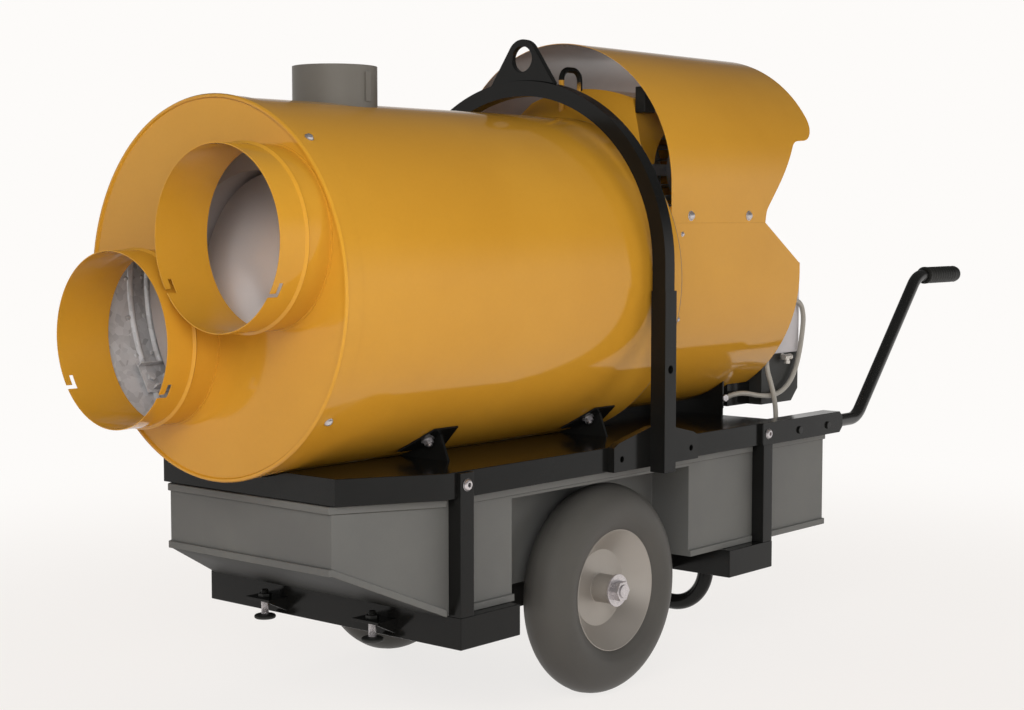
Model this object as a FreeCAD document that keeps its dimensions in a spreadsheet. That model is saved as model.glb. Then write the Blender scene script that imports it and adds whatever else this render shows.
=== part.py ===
import FreeCAD, Part
import math
import os
from types import SimpleNamespace

import Sketcher
from FreeCAD import Placement, Rotation, Vector

# An indirect-fired diesel heater on two wheels, in millimetres.
# X runs along the barrel, with the warm-air outlets at -X and the handles at +X.
# The operator stands behind the handles, so left is -Y.

SIZES = {
    # wheels and axle
    "tyre_radius": 200,
    "tyre_section": 50,
    "tyre_wall": 10,
    "wheel_inset": 26,
    "bead_radius": 112,
    "rim_lip": 3.6,
    "rim_half_width": 37,
    "rim_wall": 3,
    "dish_offset": 2,
    "disc_radius": 72,
    "cone_inset": 4,
    "hub_wall": 5,
    "hub_half_length": 38,
    "bearing_radius": 22,
    "bearing_width": 15,
    "axle_radius": 12.5,
    "axle_x": -276,
    "axle_washer_radius": 31,
    "axle_washer_thickness": 4,
    "axle_nut_radius": 20,
    "axle_nut_thickness": 13,
    "running_gap": 0.05,
    "seat_gap": 0.3,
    # chassis
    "beam_drop": 30,
    "beam_height": 56,
    "side_lap": 8.5,
    "beam_wall": 4,
    "front_beam_ahead": 456,
    "front_beam_width": 156,
    "rear_beam_lead": 121,
    "rear_beam_width": 160,
    "rail_clearance": 120,
    "rail_width": 40,
    "rail_height": 50,
    "rail_wall": 3,
    "strap_width": 34,
    "strap_wall": 3,
    "front_strap_inset": 0,
    "rear_strap_inset": 2,
    "strap_top_inset": 2,
    # rear stand
    "stand_radius": 16.5,
    "stand_wall": 3,
    "stand_inset": 113,
    "stand_bend": 84,
    "stand_clearance": 65,
    # levelling feet
    "foot_offset": 140,
    "foot_ahead": 27,
    "foot_stud_radius": 7,
    "foot_stud_length": 46,
    "foot_pad_radius": 20,
    "foot_pad_thickness": 8,
    "foot_pad_drop": 6,
    "foot_shelf_length": 46,
    "foot_shelf_width": 64,
    "foot_shelf_thickness": 5,
    "foot_shelf_rise": 29,
    "foot_gusset_drop": 22,
    # fuel tank
    "tank_height": 202,
    "tank_inset": 20.5,
    "tank_nose_taper": 88,
    "tank_front_inset": 3,
    "tank_nose_length": 180,
    "tank_rear_inset": 33,
    "tank_wall": 5,
    "tank_nose_rise": 85,
    "tank_lip": 6,
    "tank_lip_height": 13,
    "tank_lip_margin": 6,
    "well_ahead": 289,
    "well_behind": 253,
    "well_depth": 91,
    "well_clearance": 8,
    "filler_radius": 34,
    "filler_height": 20,
    "filler_behind": 73,
    "filler_inset": 89,
    "cap_wall": 6,
    "cap_height": 27,
    "cap_grip_height": 7,
    "cap_grip_width": 12,
    # deck and handle rails
    "deck_gap": 2,
    "deck_rim": 46,
    "deck_wall": 3,
    "deck_nose_taper": 94.5,
    "deck_front_inset": 67,
    "deck_nose_length": 166,
    "deck_rim_length": 1127,
    "deck_rear_inset": 111,
    "deck_slot_half_width": 112,
    "deck_slot_depth": 20,
    "deck_slot_rear_margin": 60,
    "side_rail_length": 321,
    "side_rail_flange": 39,
    "side_rail_clip": 12,
    # handles
    "handle_radius": 14,
    "handle_wall": 2.5,
    "handle_inset": 27,
    "handle_drop": 26,
    "handle_seat": 194,
    "handle_straight": 105,
    "handle_rise": 314,
    "handle_sweep": 276,
    "handle_reach": 189.2,
    "handle_bend": 60,
    "grip_length": 160,
    "grip_wall": 5.5,
    "handle_bolt_radius": 5,
    "handle_bolt_head": 8,
    "handle_bolt_front": 142,
    "handle_bolt_pitch": 116,
    # barrel and lid
    "barrel_front": -991,
    "barrel_length": 902,
    "barrel_radius": 322,
    "barrel_wall": 1.5,
    "barrel_sink": 14,
    "lid_lip": 4,
    "lid_lip_depth": 4,
    "lid_skirt": 35,
    "outlet_gap": 10.29,
    "outlet_margin": 7.71,
    "outlet_wall": 1.5,
    "outlet_length": 107.5,
    "outlet_slant": 32.417,
    "outlet_collar": 3,
    "outlet_bead": 4,
    "outlet_bead_width": 9,
    "outlet_bead_place": 52,
    "notch_width": 8,
    "notch_depth": 20,
    "notch_turn": 16,
    "notch_angle": 35,
    # chimney
    "flue_radius": 75.75,
    "flue_wall": 1.5,
    "flue_behind": 286,
    "flue_height": 65,
    "flue_seam_width": 12,
    "flue_seam_thickness": 3,
    # chamber and heat exchanger inside the barrel
    "chamber_gap": 12,
    "chamber_wall": 3,
    "chamber_dome_radius": 280,
    "chamber_front_inset": 66,
    "chamber_rear_inset": 60,
    "exchanger_gap": 30,
    "exchanger_depth": 80,
    "exchanger_wall": 2,
    "exchanger_front_inset": 96,
    "exchanger_rear_inset": 130,
    "band_width": 34,
    "band_thickness": 2.5,
    "band_inset": 16,
    "bracket_length": 50,
    "bracket_inner": 150,
    "bracket_outer": 200,
    # burner
    "burner_drop": 40,
    "tunnel_radius": 70,
    "tunnel_wall": 3,
    "tunnel_flange_radius": 95,
    "tunnel_flange_thickness": 8,
    "burner_gap": 9,
    "burner_half_width": 190,
    "burner_length": 150,
    "burner_base_rise": 14,
    "burner_base_height": 110,
    "burner_clip": 27,
    "burner_wall": 3,
    "burner_top_height": 200,
    "burner_corner": 12,
    "burner_overhang": 14,
    "pump_length": 40,
    "pump_width": 60,
    "pump_overhang": 20,
    "pump_lap": 8,
    "pump_height": 50,
    "bleed_radius": 5,
    "bleed_length": 14,
    "bleed_place": 82,
    "bleed_drop": 8,
    # fuel hoses
    "hose_radius": 5.5,
    "fitting_radius": 9.5,
    "fitting_height": 14,
    "elbow_length": 24,
    # rear casing
    "plate_wall": 1.5,
    "case_half_width": 290,
    "case_rise": 18,
    "case_wall": 1.5,
    "case_seam_rise": 108,
    "shell_length": 482.5,
    "shell_cut_length": 138,
    "shell_cut_drop": 88,
    "hood_gap": 10,
    "hood_length": 564,
    "hood_crown_rise": 74,
    "hood_side_length": 336,
    "hood_waist_lead": 5,
    "hood_waist_rise": 25,
    "hood_waist_bend": 40,
    "hood_slope_length": 472,
    "hood_slope_rise": 173,
    "hood_slope_bend": 40,
    "hood_lobe_rise": 179,
    "hood_lobe_bend": 54,
    "strip_length": 300,
    "strip_height": 64,
    "strip_thickness": 3,
    # duct and blower
    "duct_length": 89.5,
    "duct_half_width": 134,
    "duct_crown_radius": 386,
    "duct_crown_rise": 384,
    "duct_rise": 109,
    "duct_corner_angle": 45,
    "duct_handle_radius": 6,
    "duct_handle_front": 24,
    "duct_handle_rear": 84,
    "duct_handle_top": 43,
    "duct_handle_bend": 22,
    "shelf_clearance": 14,
    "shelf_thickness": 4,
    "shelf_front": 100,
    "shelf_length": 245,
    "scroll_radius": 165,
    "scroll_wall": 2,
    "scroll_behind": 168,
    "scroll_lift": 3,
    "scroll_foot_length": 140,
    "scroll_foot_height": 30,
    "inlet_radius": 95,
    "wheel_radius": 120,
    "wheel_half_width": 112,
    "wheel_rim": 12,
    "wheel_rim_thickness": 6,
    "wheel_disc": 5,
    "wheel_hub_radius": 25,
    "wheel_hub_length": 60,
    "blade_depth": 20,
    "blade_thickness": 2.5,
    "shaft_radius": 10,
    "motor_radius": 68,
    "motor_length": 110,
    "motor_wall": 8,
    "motor_arm_width": 24,
    "motor_arm_thickness": 12,
    "motor_arm_reach": 125,
    "junction_length": 36,
    "junction_depth": 26,
    "junction_height": 58,
    "junction_overhang": 24,
    # control box
    "control_inset": 12,
    "control_length": 60,
    "control_half_width": 90,
    "control_height": 100,
    "control_wall": 3,
    "knob_radius": 18,
    "knob_length": 16,
    "knob_offset": 40,
    "knob_drop": 32,
    "spindle_radius": 4,
    "spindle_length": 20,
    "inlet_size": 44,
    "inlet_depth": 14,
    "inlet_gap": 24,
    # saddles under the barrel
    "saddle_thickness": 6,
    "saddle_drop": 30,
    "saddle_neck": 108,
    "saddle_foot": 214,
    "saddle_shoulder": 196,
    "saddle_rise": 46,
    "front_saddle_inset": 350,
    "middle_saddle_inset": 95,
    "tab_angle": 33.4,
    "tab_length": 60,
    "tab_flare": 30,
    "tab_width": 75,
    "tab_wall": 3,
    "rear_saddle_foot": 170,
    "rear_saddle_rise": 40,
    "rear_tab_angle": 22.7,
    "rear_tab_length": 117,
    "rear_tab_width": 50,
    # lifting arch and eye
    "arch_bar": 30,
    "arch_wall": 3,
    "arch_clearance": 10,
    "arch_inset": 95,
    "arch_crown_rise": 28,
    "arch_leg_drop": 56,
    "arch_sleeve": 3,
    "arch_sleeve_rise": 289,
    "arch_hole_radius": 8,
    "arch_hole_rise": 150,
    "foot_plate_depth": 15.2,
    "foot_plate_wall": 3,
    "foot_plate_front": 131,
    "foot_plate_rear": 141,
    "foot_plate_top": 30,
    "foot_plate_shoulder": 8,
    "plate_hole_inset": 24,
    "plate_hole_radius": 6,
    "eye_thickness": 12,
    "eye_half_width": 82,
    "eye_rise": 44,
    "eye_hole_radius": 25,
    "eye_radius": 39,
    "eye_sink": 24,
    # fasteners
    "screw_radius": 6,
    "screw_height": 4,
    "lid_screw_inset": 28,
    "lid_screw_angle": 40,
    "case_bolt_radius": 9,
    "case_bolt_height": 6,
    "case_bolt_rise": 14,
    "case_bolt_front": 65,
    "case_bolt_pitch": 207,
    "case_screw_inset": 45,
    "case_screw_drop": 22,
    "case_screw_pitch": 168,
    "frame_bolt_radius": 11,
    "frame_bolt_height": 6,
    "tab_bolt_radius": 8,
    "tab_bolt_lead": 17,
}

BLADE_COUNT = 24
LID_SCREW_COUNT = 4
HOSE_TURN_SHARE = 0.45

os.makedirs("parts", exist_ok=True)
doc = FreeCAD.newDocument("diesel_heater")


class Size:
    """A length that carries its number and the sheet formula behind it."""

    def __init__(self, value, text):
        self.value = value
        self.text = text

    def __add__(self, other):
        other = as_size(other)
        return Size(self.value + other.value, f"({self.text} + {other.text})")

    def __sub__(self, other):
        other = as_size(other)
        return Size(self.value - other.value, f"({self.text} - {other.text})")

    def __mul__(self, other):
        other = as_size(other)
        return Size(self.value * other.value, f"({self.text} * {other.text})")

    def __truediv__(self, other):
        other = as_size(other)
        return Size(self.value / other.value, f"({self.text} / {other.text})")

    def __neg__(self):
        return Size(-self.value, f"(0 - {self.text})")

    __radd__ = __add__
    __rmul__ = __mul__

    def __rsub__(self, other):
        return as_size(other) - self


def as_size(number):
    """A plain number, or a Size as it is."""
    if isinstance(number, Size):
        return number
    return Size(float(number), f"({float(number)!r})")


def root(size):
    """The square root of a Size."""
    return Size(math.sqrt(size.value), f"sqrt({size.text})")


def half_chord(radius, height):
    """Half the width of a circle at a height over its centre."""
    return root(radius * radius - height * height)


def write_sheet():
    """Puts the driving dimensions in a sheet and gives each back as a Size."""
    sheet = doc.addObject("Spreadsheet::Sheet", "dims")
    for row, (name, number) in enumerate(SIZES.items(), start=1):
        sheet.set(f"A{row}", name)
        sheet.set(f"B{row}", str(number))
        sheet.setAlias(f"B{row}", name)
    doc.recompute()
    return SimpleNamespace(**{name: Size(float(sheet.get(name)), f"dims.{name}") for name in SIZES})


d = write_sheet()

# Sizes that follow from the sheet's, from the barrel outwards and inwards.
d.arch_inner = d.barrel_radius + d.arch_clearance
d.deck_half_width = d.arch_inner - d.seat_gap - d.foot_plate_depth
d.deck_nose_half_width = d.deck_half_width - d.deck_nose_taper
d.beam_half_length = d.deck_half_width + d.side_lap
d.tank_half_width = d.deck_half_width - d.tank_inset
d.tank_nose_half_width = d.tank_half_width - d.tank_nose_taper
d.wheel_offset = d.tank_half_width - d.wheel_inset
d.rail_inner = d.wheel_offset - d.rail_clearance
d.stand_half_width = d.beam_half_length - d.stand_inset
d.handle_offset = d.beam_half_length - d.handle_inset
d.filler_offset = d.beam_half_length - d.filler_inset
d.exchanger_outer = d.barrel_radius - d.exchanger_gap
d.exchanger_inner = d.exchanger_outer - d.exchanger_depth
d.chamber_radius = d.exchanger_inner - d.chamber_gap
d.outlet_radius = (d.barrel_radius - d.outlet_margin - d.outlet_gap) / 2
d.outlet_side = (d.outlet_radius + d.outlet_gap) * math.cos(math.radians(d.outlet_slant.value))
d.outlet_up = (d.outlet_radius + d.outlet_gap) * math.sin(math.radians(d.outlet_slant.value))

SIDES = (("left", -1), ("right", 1))
OUTLETS = (("upper", 1), ("lower", -1))
ROD_TURN = {"x": Rotation(Vector(0, 1, 0), 90), "y": Rotation(Vector(1, 0, 0), -90), "z": Rotation()}
PLATE_TURN = {"x": Rotation(Vector(1, 1, 1), 120), "y": Rotation(Vector(1, 0, 0), 90), "z": Rotation()}
LATHE_TURN = {"x": Rotation(), "y": Rotation(Vector(0, 0, 1), 90), "z": Rotation(Vector(0, 1, 0), -90)}

# Heights and stations that several pieces share.
axle_z = d.tyre_radius
beam_bottom = axle_z - d.beam_drop
beam_top = beam_bottom + d.beam_height
tank_top = beam_top + d.tank_height
rim_bottom = tank_top + d.deck_gap
deck_top = rim_bottom + d.deck_rim
axis_z = deck_top + d.barrel_radius - d.barrel_sink
case_z = deck_top + d.case_rise + d.case_half_width
barrel_rear = d.barrel_front + d.barrel_length
case_front = barrel_rear + d.plate_wall
seam_z = case_z + d.case_seam_rise
crown_z = seam_z + d.hood_crown_rise
hood_front = barrel_rear + d.hood_gap
shell_rear = case_front + d.shell_length
deck_front = d.barrel_front + d.deck_front_inset
deck_rear = shell_rear - d.deck_rear_inset
rim_rear = deck_front + d.deck_rim_length
rail_rear = rim_rear + d.side_rail_length
tank_front = deck_front + d.tank_front_inset
tank_rear = rail_rear - d.tank_rear_inset
front_beam = (d.axle_x - d.front_beam_ahead, d.axle_x - d.front_beam_ahead + d.front_beam_width)
rear_beam = (rim_rear - d.rear_beam_lead, rim_rear - d.rear_beam_lead + d.rear_beam_width)
front_strap = (front_beam[0] + d.front_strap_inset, front_beam[0] + d.front_strap_inset + d.strap_width)
rear_strap = (rear_beam[1] - d.rear_strap_inset - d.strap_width, rear_beam[1] - d.rear_strap_inset)
lid_face = d.barrel_front - d.barrel_wall
arch_x = barrel_rear - d.arch_inset
arch_z = axis_z + d.arch_crown_rise
arch_outer = d.arch_inner + d.arch_bar
arch_foot_z = rim_bottom + d.deck_rim - d.arch_leg_drop
flue_x = d.barrel_front + d.flue_behind
flue_top = axis_z + d.barrel_radius + d.flue_height
burner_z = axis_z - d.burner_drop
burner_front = shell_rear + d.burner_gap
burner_rear = burner_front + d.burner_length
base_bottom = deck_top + d.burner_base_rise
base_top = base_bottom + d.burner_base_height
duct_rear = case_front + d.duct_length
duct_floor = axis_z + d.duct_rise
duct_crown = axis_z + d.duct_crown_rise
crown_centre = duct_crown - d.duct_crown_radius
shelf_top = burner_z + d.tunnel_radius + d.shelf_clearance + d.shelf_thickness
scroll_x = duct_rear + d.scroll_behind
scroll_z = shelf_top + d.scroll_lift + d.scroll_radius
handle_z = deck_top - d.handle_drop
front_saddle_x = d.barrel_front + d.front_saddle_inset
middle_saddle_x = barrel_rear - d.middle_saddle_inset
side_face = d.beam_half_length


def bind(obj, prop, size):
    obj.setExpression(prop, as_size(size).text)


def put(obj, base, turn=None):
    """Sets an object's place from three Sizes, and its turn."""
    if turn is not None:
        obj.Placement = Placement(Vector(), turn)
    for axis, size in zip("xyz", base):
        bind(obj, f"Placement.Base.{axis}", size)
    return obj


def along(axis, start, across):
    """The three coordinates from one along an axis and two across it."""
    base = list(across)
    base.insert("xyz".index(axis), start)
    return base


def span(sign, near, far):
    """A low and high bound from distances off the middle plane."""
    if sign > 0:
        return near, far
    return -far, -near


def box(name, x_span, y_span, z_span):
    """A block between bounds along each axis."""
    obj = doc.addObject("Part::Box", name)
    for prop, (low, high) in zip(("Length", "Width", "Height"), (x_span, y_span, z_span)):
        bind(obj, prop, as_size(high) - low)
    return put(obj, (x_span[0], y_span[0], z_span[0]))


def rod(name, axis, radius, ends, across):
    """A cylinder along an axis."""
    obj = doc.addObject("Part::Cylinder", name)
    bind(obj, "Radius", radius)
    bind(obj, "Height", as_size(ends[1]) - ends[0])
    return put(obj, along(axis, ends[0], across), ROD_TURN[axis])


def ball(name, radius, centre):
    obj = doc.addObject("Part::Sphere", name)
    bind(obj, "Radius", radius)
    return put(obj, centre)


def spoke(name, x_span, centre, angle, radii, width):
    """A block turned about the X direction, reaching out between two radii."""
    cosine = math.cos(math.radians(angle.value))
    sine = math.sin(math.radians(angle.value))
    obj = doc.addObject("Part::Box", name)
    bind(obj, "Length", as_size(x_span[1]) - x_span[0])
    bind(obj, "Width", as_size(radii[1]) - radii[0])
    bind(obj, "Height", width)
    side = as_size(centre[0]) + radii[0] * cosine + width * (sine / 2)
    up = centre[1] + radii[0] * sine - width * (cosine / 2)
    return put(obj, (x_span[0], side, up), Rotation(Vector(1, 0, 0), angle.value))


def fuse(name, *pieces):
    obj = doc.addObject("Part::MultiFuse", name)
    obj.Shapes = list(pieces)
    return obj


def cut(name, base, *tools):
    obj = doc.addObject("Part::Cut", name)
    obj.Base = base
    obj.Tool = tools[0] if len(tools) == 1 else fuse(f"{name}_cutters", *tools)
    return obj


def common(name, first, second):
    obj = doc.addObject("Part::Common", name)
    obj.Base = first
    obj.Tool = second
    return obj


def draw(body, label, points):
    """A closed outline of straight lines in a body's own XY plane, with every corner bound."""
    sketch = body.newObject("Sketcher::SketchObject", label)
    plane = [item for item in body.Origin.OriginFeatures if item.Role == "XY_Plane"][0]
    sketch.AttachmentSupport = (plane, [""])
    sketch.MapMode = "FlatFace"
    corners = [(as_size(first), as_size(second)) for first, second in points]
    places = [Vector(first.value, second.value, 0) for first, second in corners]
    count = len(places)
    for index in range(count):
        sketch.addGeometry(Part.LineSegment(places[index], places[(index + 1) % count]), False)
    for index in range(count):
        sketch.addConstraint(Sketcher.Constraint("Coincident", index, 2, (index + 1) % count, 1))
    for index, corner in enumerate(corners):
        for kind, size in zip(("DistanceX", "DistanceY"), corner):
            number = sketch.addConstraint(Sketcher.Constraint(kind, -1, 1, index, 1, size.value))
            sketch.setExpression(f"Constraints[{number}]", size.text)
    return sketch


def plate(name, axis, points, ends):
    """An outline across an axis, padded along it."""
    body = doc.addObject("PartDesign::Body", name)
    pad = body.newObject("PartDesign::Pad", f"{name}_pad")
    pad.Profile = draw(body, f"{name}_outline", points)
    bind(pad, "Length", as_size(ends[1]) - ends[0])
    body.Tip = pad
    start = ends[1] if axis == "y" else ends[0]
    return put(body, along(axis, start, (0, 0)), PLATE_TURN[axis])


def lathe(name, axis, points, centre, flip=False):
    """An outline of places along an axis and radii, turned once round that axis."""
    body = doc.addObject("PartDesign::Body", name)
    sketch = draw(body, f"{name}_outline", points)
    turning = body.newObject("PartDesign::Revolution", f"{name}_turn")
    turning.Profile = sketch
    turning.ReferenceAxis = (sketch, ["H_Axis"])
    turning.Angle = 360
    body.Tip = turning
    turn = LATHE_TURN[axis]
    if flip:
        turn = Rotation(Vector(0, 0, 1), 180).multiply(turn)
    return put(body, centre, turn)


def tube(name, axis, radius, wall, ends, across):
    """A hollow cylinder, open at both ends."""
    inner = rod(f"{name}_bore", axis, radius - wall, (ends[0] - 1, ends[1] + 1), across)
    return cut(name, rod(f"{name}_outside", axis, radius, ends, across), inner)


def bend_path(points, radii):
    """One wire of straight runs joined by tangent arcs, with an arc at each inner point."""
    edges = []
    start = points[0]
    for index, radius in enumerate(radii, start=1):
        corner = points[index]
        back = (points[index - 1] - corner).normalize()
        ahead = (points[index + 1] - corner).normalize()
        half_turn = (math.pi - back.getAngle(ahead)) / 2
        reach = radius * math.tan(half_turn)
        first = corner + back * reach
        last = corner + ahead * reach
        middle = (back + ahead).normalize()
        top = corner + middle * (radius / math.cos(half_turn) - radius)
        edges.append(Part.LineSegment(start, first).toShape())
        edges.append(Part.Arc(first, top, last).toShape())
        start = last
    edges.append(Part.LineSegment(start, points[-1]).toShape())
    return Part.Wire(edges)


def swept(path, radius):
    """A round bar along a wire."""
    first = path.Edges[0]
    start = first.Vertexes[0].Point
    circle = Part.makeCircle(radius, start, first.tangentAt(first.FirstParameter))
    return path.makePipeShell([Part.Wire([circle])], True, False)


def shaped(name, shape):
    """A sub-part whose shape is swept or lofted from the sheet's sizes."""
    obj = doc.addObject("Part::Feature", name)
    obj.Shape = shape
    obj.Placement = Placement()
    return obj


def bent_tube(name, points, radii, radius, wall):
    path = bend_path(points, radii)
    return shaped(name, swept(path, radius.value).cut(swept(path, radius.value - wall.value)))


def hose(name, points):
    """A solid fuel hose through its route points, each bend as large as its runs allow."""
    radii = []
    for index in range(1, len(points) - 1):
        back = points[index - 1] - points[index]
        ahead = points[index + 1] - points[index]
        half_turn = (math.pi - back.getAngle(ahead)) / 2
        radii.append(HOSE_TURN_SHARE * min(back.Length, ahead.Length) / math.tan(half_turn))
    path = bend_path(points, radii)
    body = swept(path, d.hose_radius.value)
    wanted = math.pi * d.hose_radius.value ** 2 * path.Length
    print(name, "length", round(path.Length, 1), "volume share", round(body.Volume / wanted, 4))
    print(name, "bend radii", [round(radius) for radius in radii])
    return shaped(name, body)


def tyre(side, sign):
    """A round-shouldered tyre, open to the rim inside."""
    middle = d.tyre_radius.value - d.tyre_section.value
    outer = d.tyre_section.value
    inner = outer - d.tyre_wall.value
    bead = d.bead_radius.value
    lip = bead + d.rim_lip.value + d.seat_gap.value
    flange = d.rim_half_width.value - d.rim_lip.value - d.seat_gap.value
    shoulder = math.sqrt(outer ** 2 - (middle - lip) ** 2)
    toe = math.sqrt(inner ** 2 - (middle - bead) ** 2)

    def point(along_axle, radius):
        return Vector(radius, along_axle, 0)

    corners = [point(-shoulder, lip), point(-flange, lip), point(-flange, bead), point(-toe, bead)]
    mirrored = [Vector(corner.x, -corner.y, 0) for corner in reversed(corners)]
    edges = [Part.Arc(corners[0], point(0, middle + outer), mirrored[-1])]
    edges.append(Part.Arc(corners[-1], point(0, middle + inner), mirrored[0]))
    for run in (corners, mirrored):
        edges.extend(Part.LineSegment(first, second) for first, second in zip(run, run[1:]))
    section = Part.Face(Part.Wire(Part.__sortEdges__([edge.toShape() for edge in edges])))
    obj = shaped(f"{side}_tyre", section.revolve(Vector(), Vector(0, 1, 0), 360))
    put(obj, (d.axle_x, d.wheel_offset * sign, axle_z))


def rim(side, sign):
    """A dished rim and hub, outward along the side's own direction."""
    centre = (d.axle_x, d.wheel_offset * sign, axle_z)
    flange = d.rim_half_width - d.rim_lip
    seat = d.bead_radius - d.seat_gap
    lip = d.bead_radius + d.rim_lip
    inside = seat - d.rim_wall
    bore = d.bearing_radius + d.running_gap
    hub = bore + d.hub_wall
    end = d.hub_half_length
    dish = -d.dish_offset
    cone = d.rim_half_width - d.cone_inset
    outline = (
        (d.rim_half_width, lip), (flange, lip), (flange, seat), (-flange, seat), (-flange, lip),
        (-d.rim_half_width, lip), (-d.rim_half_width, inside), (cone - d.rim_wall * 2, inside),
        (dish - d.rim_wall, d.disc_radius), (dish - d.rim_wall, hub), (-end, hub), (-end, bore), (end, bore),
        (end, hub), (dish, hub), (dish, d.disc_radius), (cone, inside), (d.rim_half_width, inside),
    )
    lathe(f"{side}_rim", "y", outline, centre, flip=sign < 0)


def axle_set():
    """The axle, its four bearings and the washers and nuts at its ends."""
    across = (d.axle_x, axle_z)
    hub_end = d.wheel_offset + d.hub_half_length + d.seat_gap
    nut_start = hub_end + d.axle_washer_thickness
    tip = nut_start + d.axle_nut_thickness
    rod("axle", "y", d.axle_radius, (-tip - d.rim_wall, tip + d.rim_wall), across)
    rings = []
    nuts = []
    for side, sign in SIDES:
        for label, place in (("inner", -d.hub_half_length), ("outer", d.hub_half_length - d.bearing_width)):
            ends = span(sign, d.wheel_offset + place, d.wheel_offset + place + d.bearing_width)
            outside = rod(f"{side}_{label}_bearing", "y", d.bearing_radius, ends, across)
            bore = rod("bearing_bore", "y", d.axle_radius, ends, across)
            rings.append(cut(f"{side}_{label}_race", outside, bore))
        washer = rod(f"{side}_washer", "y", d.axle_washer_radius, span(sign, hub_end, nut_start), across)
        corner = d.axle_nut_radius
        flat = corner * math.sin(math.radians(60))
        hexagon = [
            (d.axle_x + corner, axle_z), (d.axle_x + corner / 2, axle_z + flat),
            (d.axle_x - corner / 2, axle_z + flat), (d.axle_x - corner, axle_z),
            (d.axle_x - corner / 2, axle_z - flat), (d.axle_x + corner / 2, axle_z - flat),
        ]
        nut = plate(f"{side}_nut", "y", hexagon, span(sign, nut_start, tip))
        stack = fuse(f"{side}_nut_stack", washer, nut)
        thread = rod(f"{side}_nut_thread", "y", d.axle_radius, span(sign, hub_end, tip), across)
        nuts.append(cut(f"{side}_axle_nut", stack, thread))
    fuse("wheel_bearings", *rings)
    fuse("axle_nuts", *nuts)


def beam(name, ends):
    """A cross beam folded from sheet, open below."""
    whole = box(f"{name}_outside", ends, (-d.beam_half_length, d.beam_half_length), (beam_bottom, beam_top))
    inside = d.beam_half_length - d.beam_wall
    hollow = box(
        f"{name}_hollow", (ends[0] + d.beam_wall, ends[1] - d.beam_wall), (-inside, inside),
        (beam_bottom - 1, beam_top - d.beam_wall),
    )
    cut(name, whole, hollow)


def chassis_rails():
    """Two box rails between the beams, bored for the axle."""
    rails = []
    ends = (front_beam[1], rear_beam[0])
    for side, sign in SIDES:
        low = beam_top - d.rail_height
        whole = box(f"{side}_chassis_outside", ends, span(sign, d.rail_inner, d.rail_inner + d.rail_width),
                    (low, beam_top))
        hollow = box(
            f"{side}_chassis_hollow", (ends[0] - 1, ends[1] + 1),
            span(sign, d.rail_inner + d.rail_wall, d.rail_inner + d.rail_width - d.rail_wall),
            (low + d.rail_wall, beam_top - d.rail_wall),
        )
        bore = rod(f"{side}_chassis_bore", "y", d.axle_radius + d.running_gap,
                   span(sign, d.rail_inner - 1, d.rail_inner + d.rail_width + 1), (d.axle_x, axle_z))
        rails.append(cut(f"{side}_chassis_rail", whole, hollow, bore))
    fuse("chassis_rails", *rails)


def strap(name, sign, ends, top):
    """An upright channel from a beam, hugging the tank's side and lapping the deck's rim."""
    inner = d.tank_half_width + d.seat_gap
    whole = box(f"{name}_outside", ends, span(sign, inner, side_face), (beam_top, top))
    hollow = box(f"{name}_hollow", (ends[0] + d.strap_wall, ends[1] - d.strap_wall),
                 span(sign, inner - 1, side_face - d.strap_wall), (beam_top - 1, top + 1))
    lap = box(f"{name}_lap", (ends[0] - 1, ends[1] + 1), span(sign, inner - 1, d.deck_half_width),
              (rim_bottom, top + 1))
    return cut(name, whole, hollow, lap)


def tank_straps():
    """Four straps that tie the beams, the deck and the side rails together."""
    straps = []
    for side, sign in SIDES:
        straps.append(strap(f"{side}_front_strap", sign, front_strap, deck_top - d.strap_top_inset))
        straps.append(strap(f"{side}_rear_strap", sign, rear_strap, rim_bottom))
    fuse("tank_straps", *straps)


def rear_stand():
    """A bent tube foot in a cross plane under the rear beam."""
    middle = (rear_beam[0].value + rear_beam[1].value) / 2
    low = d.stand_clearance.value + d.stand_radius.value
    top = beam_top.value - d.beam_wall.value
    half = d.stand_half_width.value
    points = [Vector(middle, y, z) for y, z in ((-half, top), (-half, low), (half, low), (half, top))]
    bent_tube("rear_stand", points, [d.stand_bend.value] * 2, d.stand_radius, d.stand_wall)


def levelling_foot(side, sign):
    """A bracket on the front beam with a threaded stud and pad through it."""
    face = front_beam[0]
    y = d.foot_offset * sign
    shelf_z = beam_bottom + d.foot_shelf_rise
    half = d.foot_shelf_width / 2
    top = shelf_z + d.foot_shelf_thickness
    front = face - d.foot_shelf_length
    shelf = box(f"{side}_foot_shelf", (front, face), (y - half, y + half), (shelf_z, top))
    lug = ((front, shelf_z), (face, shelf_z - d.foot_gusset_drop), (face, shelf_z))
    gusset = plate(f"{side}_foot_gusset", "y", lug, (y - half, y - half + d.foot_shelf_thickness))
    x = face - d.foot_ahead
    hole = rod(f"{side}_foot_hole", "z", d.foot_stud_radius + d.running_gap,
               (shelf_z - 1, top + 1), (x, y))
    bracket = cut(f"{side}_foot_bracket", fuse(f"{side}_foot_ledge", shelf, gusset), hole)
    pad_low = beam_bottom - d.foot_pad_drop
    pad_top = pad_low + d.foot_pad_thickness
    pad = rod(f"{side}_foot_pad", "z", d.foot_pad_radius, (pad_low, pad_top), (x, y))
    stud = rod(f"{side}_foot_stud", "z", d.foot_stud_radius, (pad_top, pad_top + d.foot_stud_length), (x, y))
    fuse(f"{side}_levelling_foot", pad, stud)
    return bracket


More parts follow.
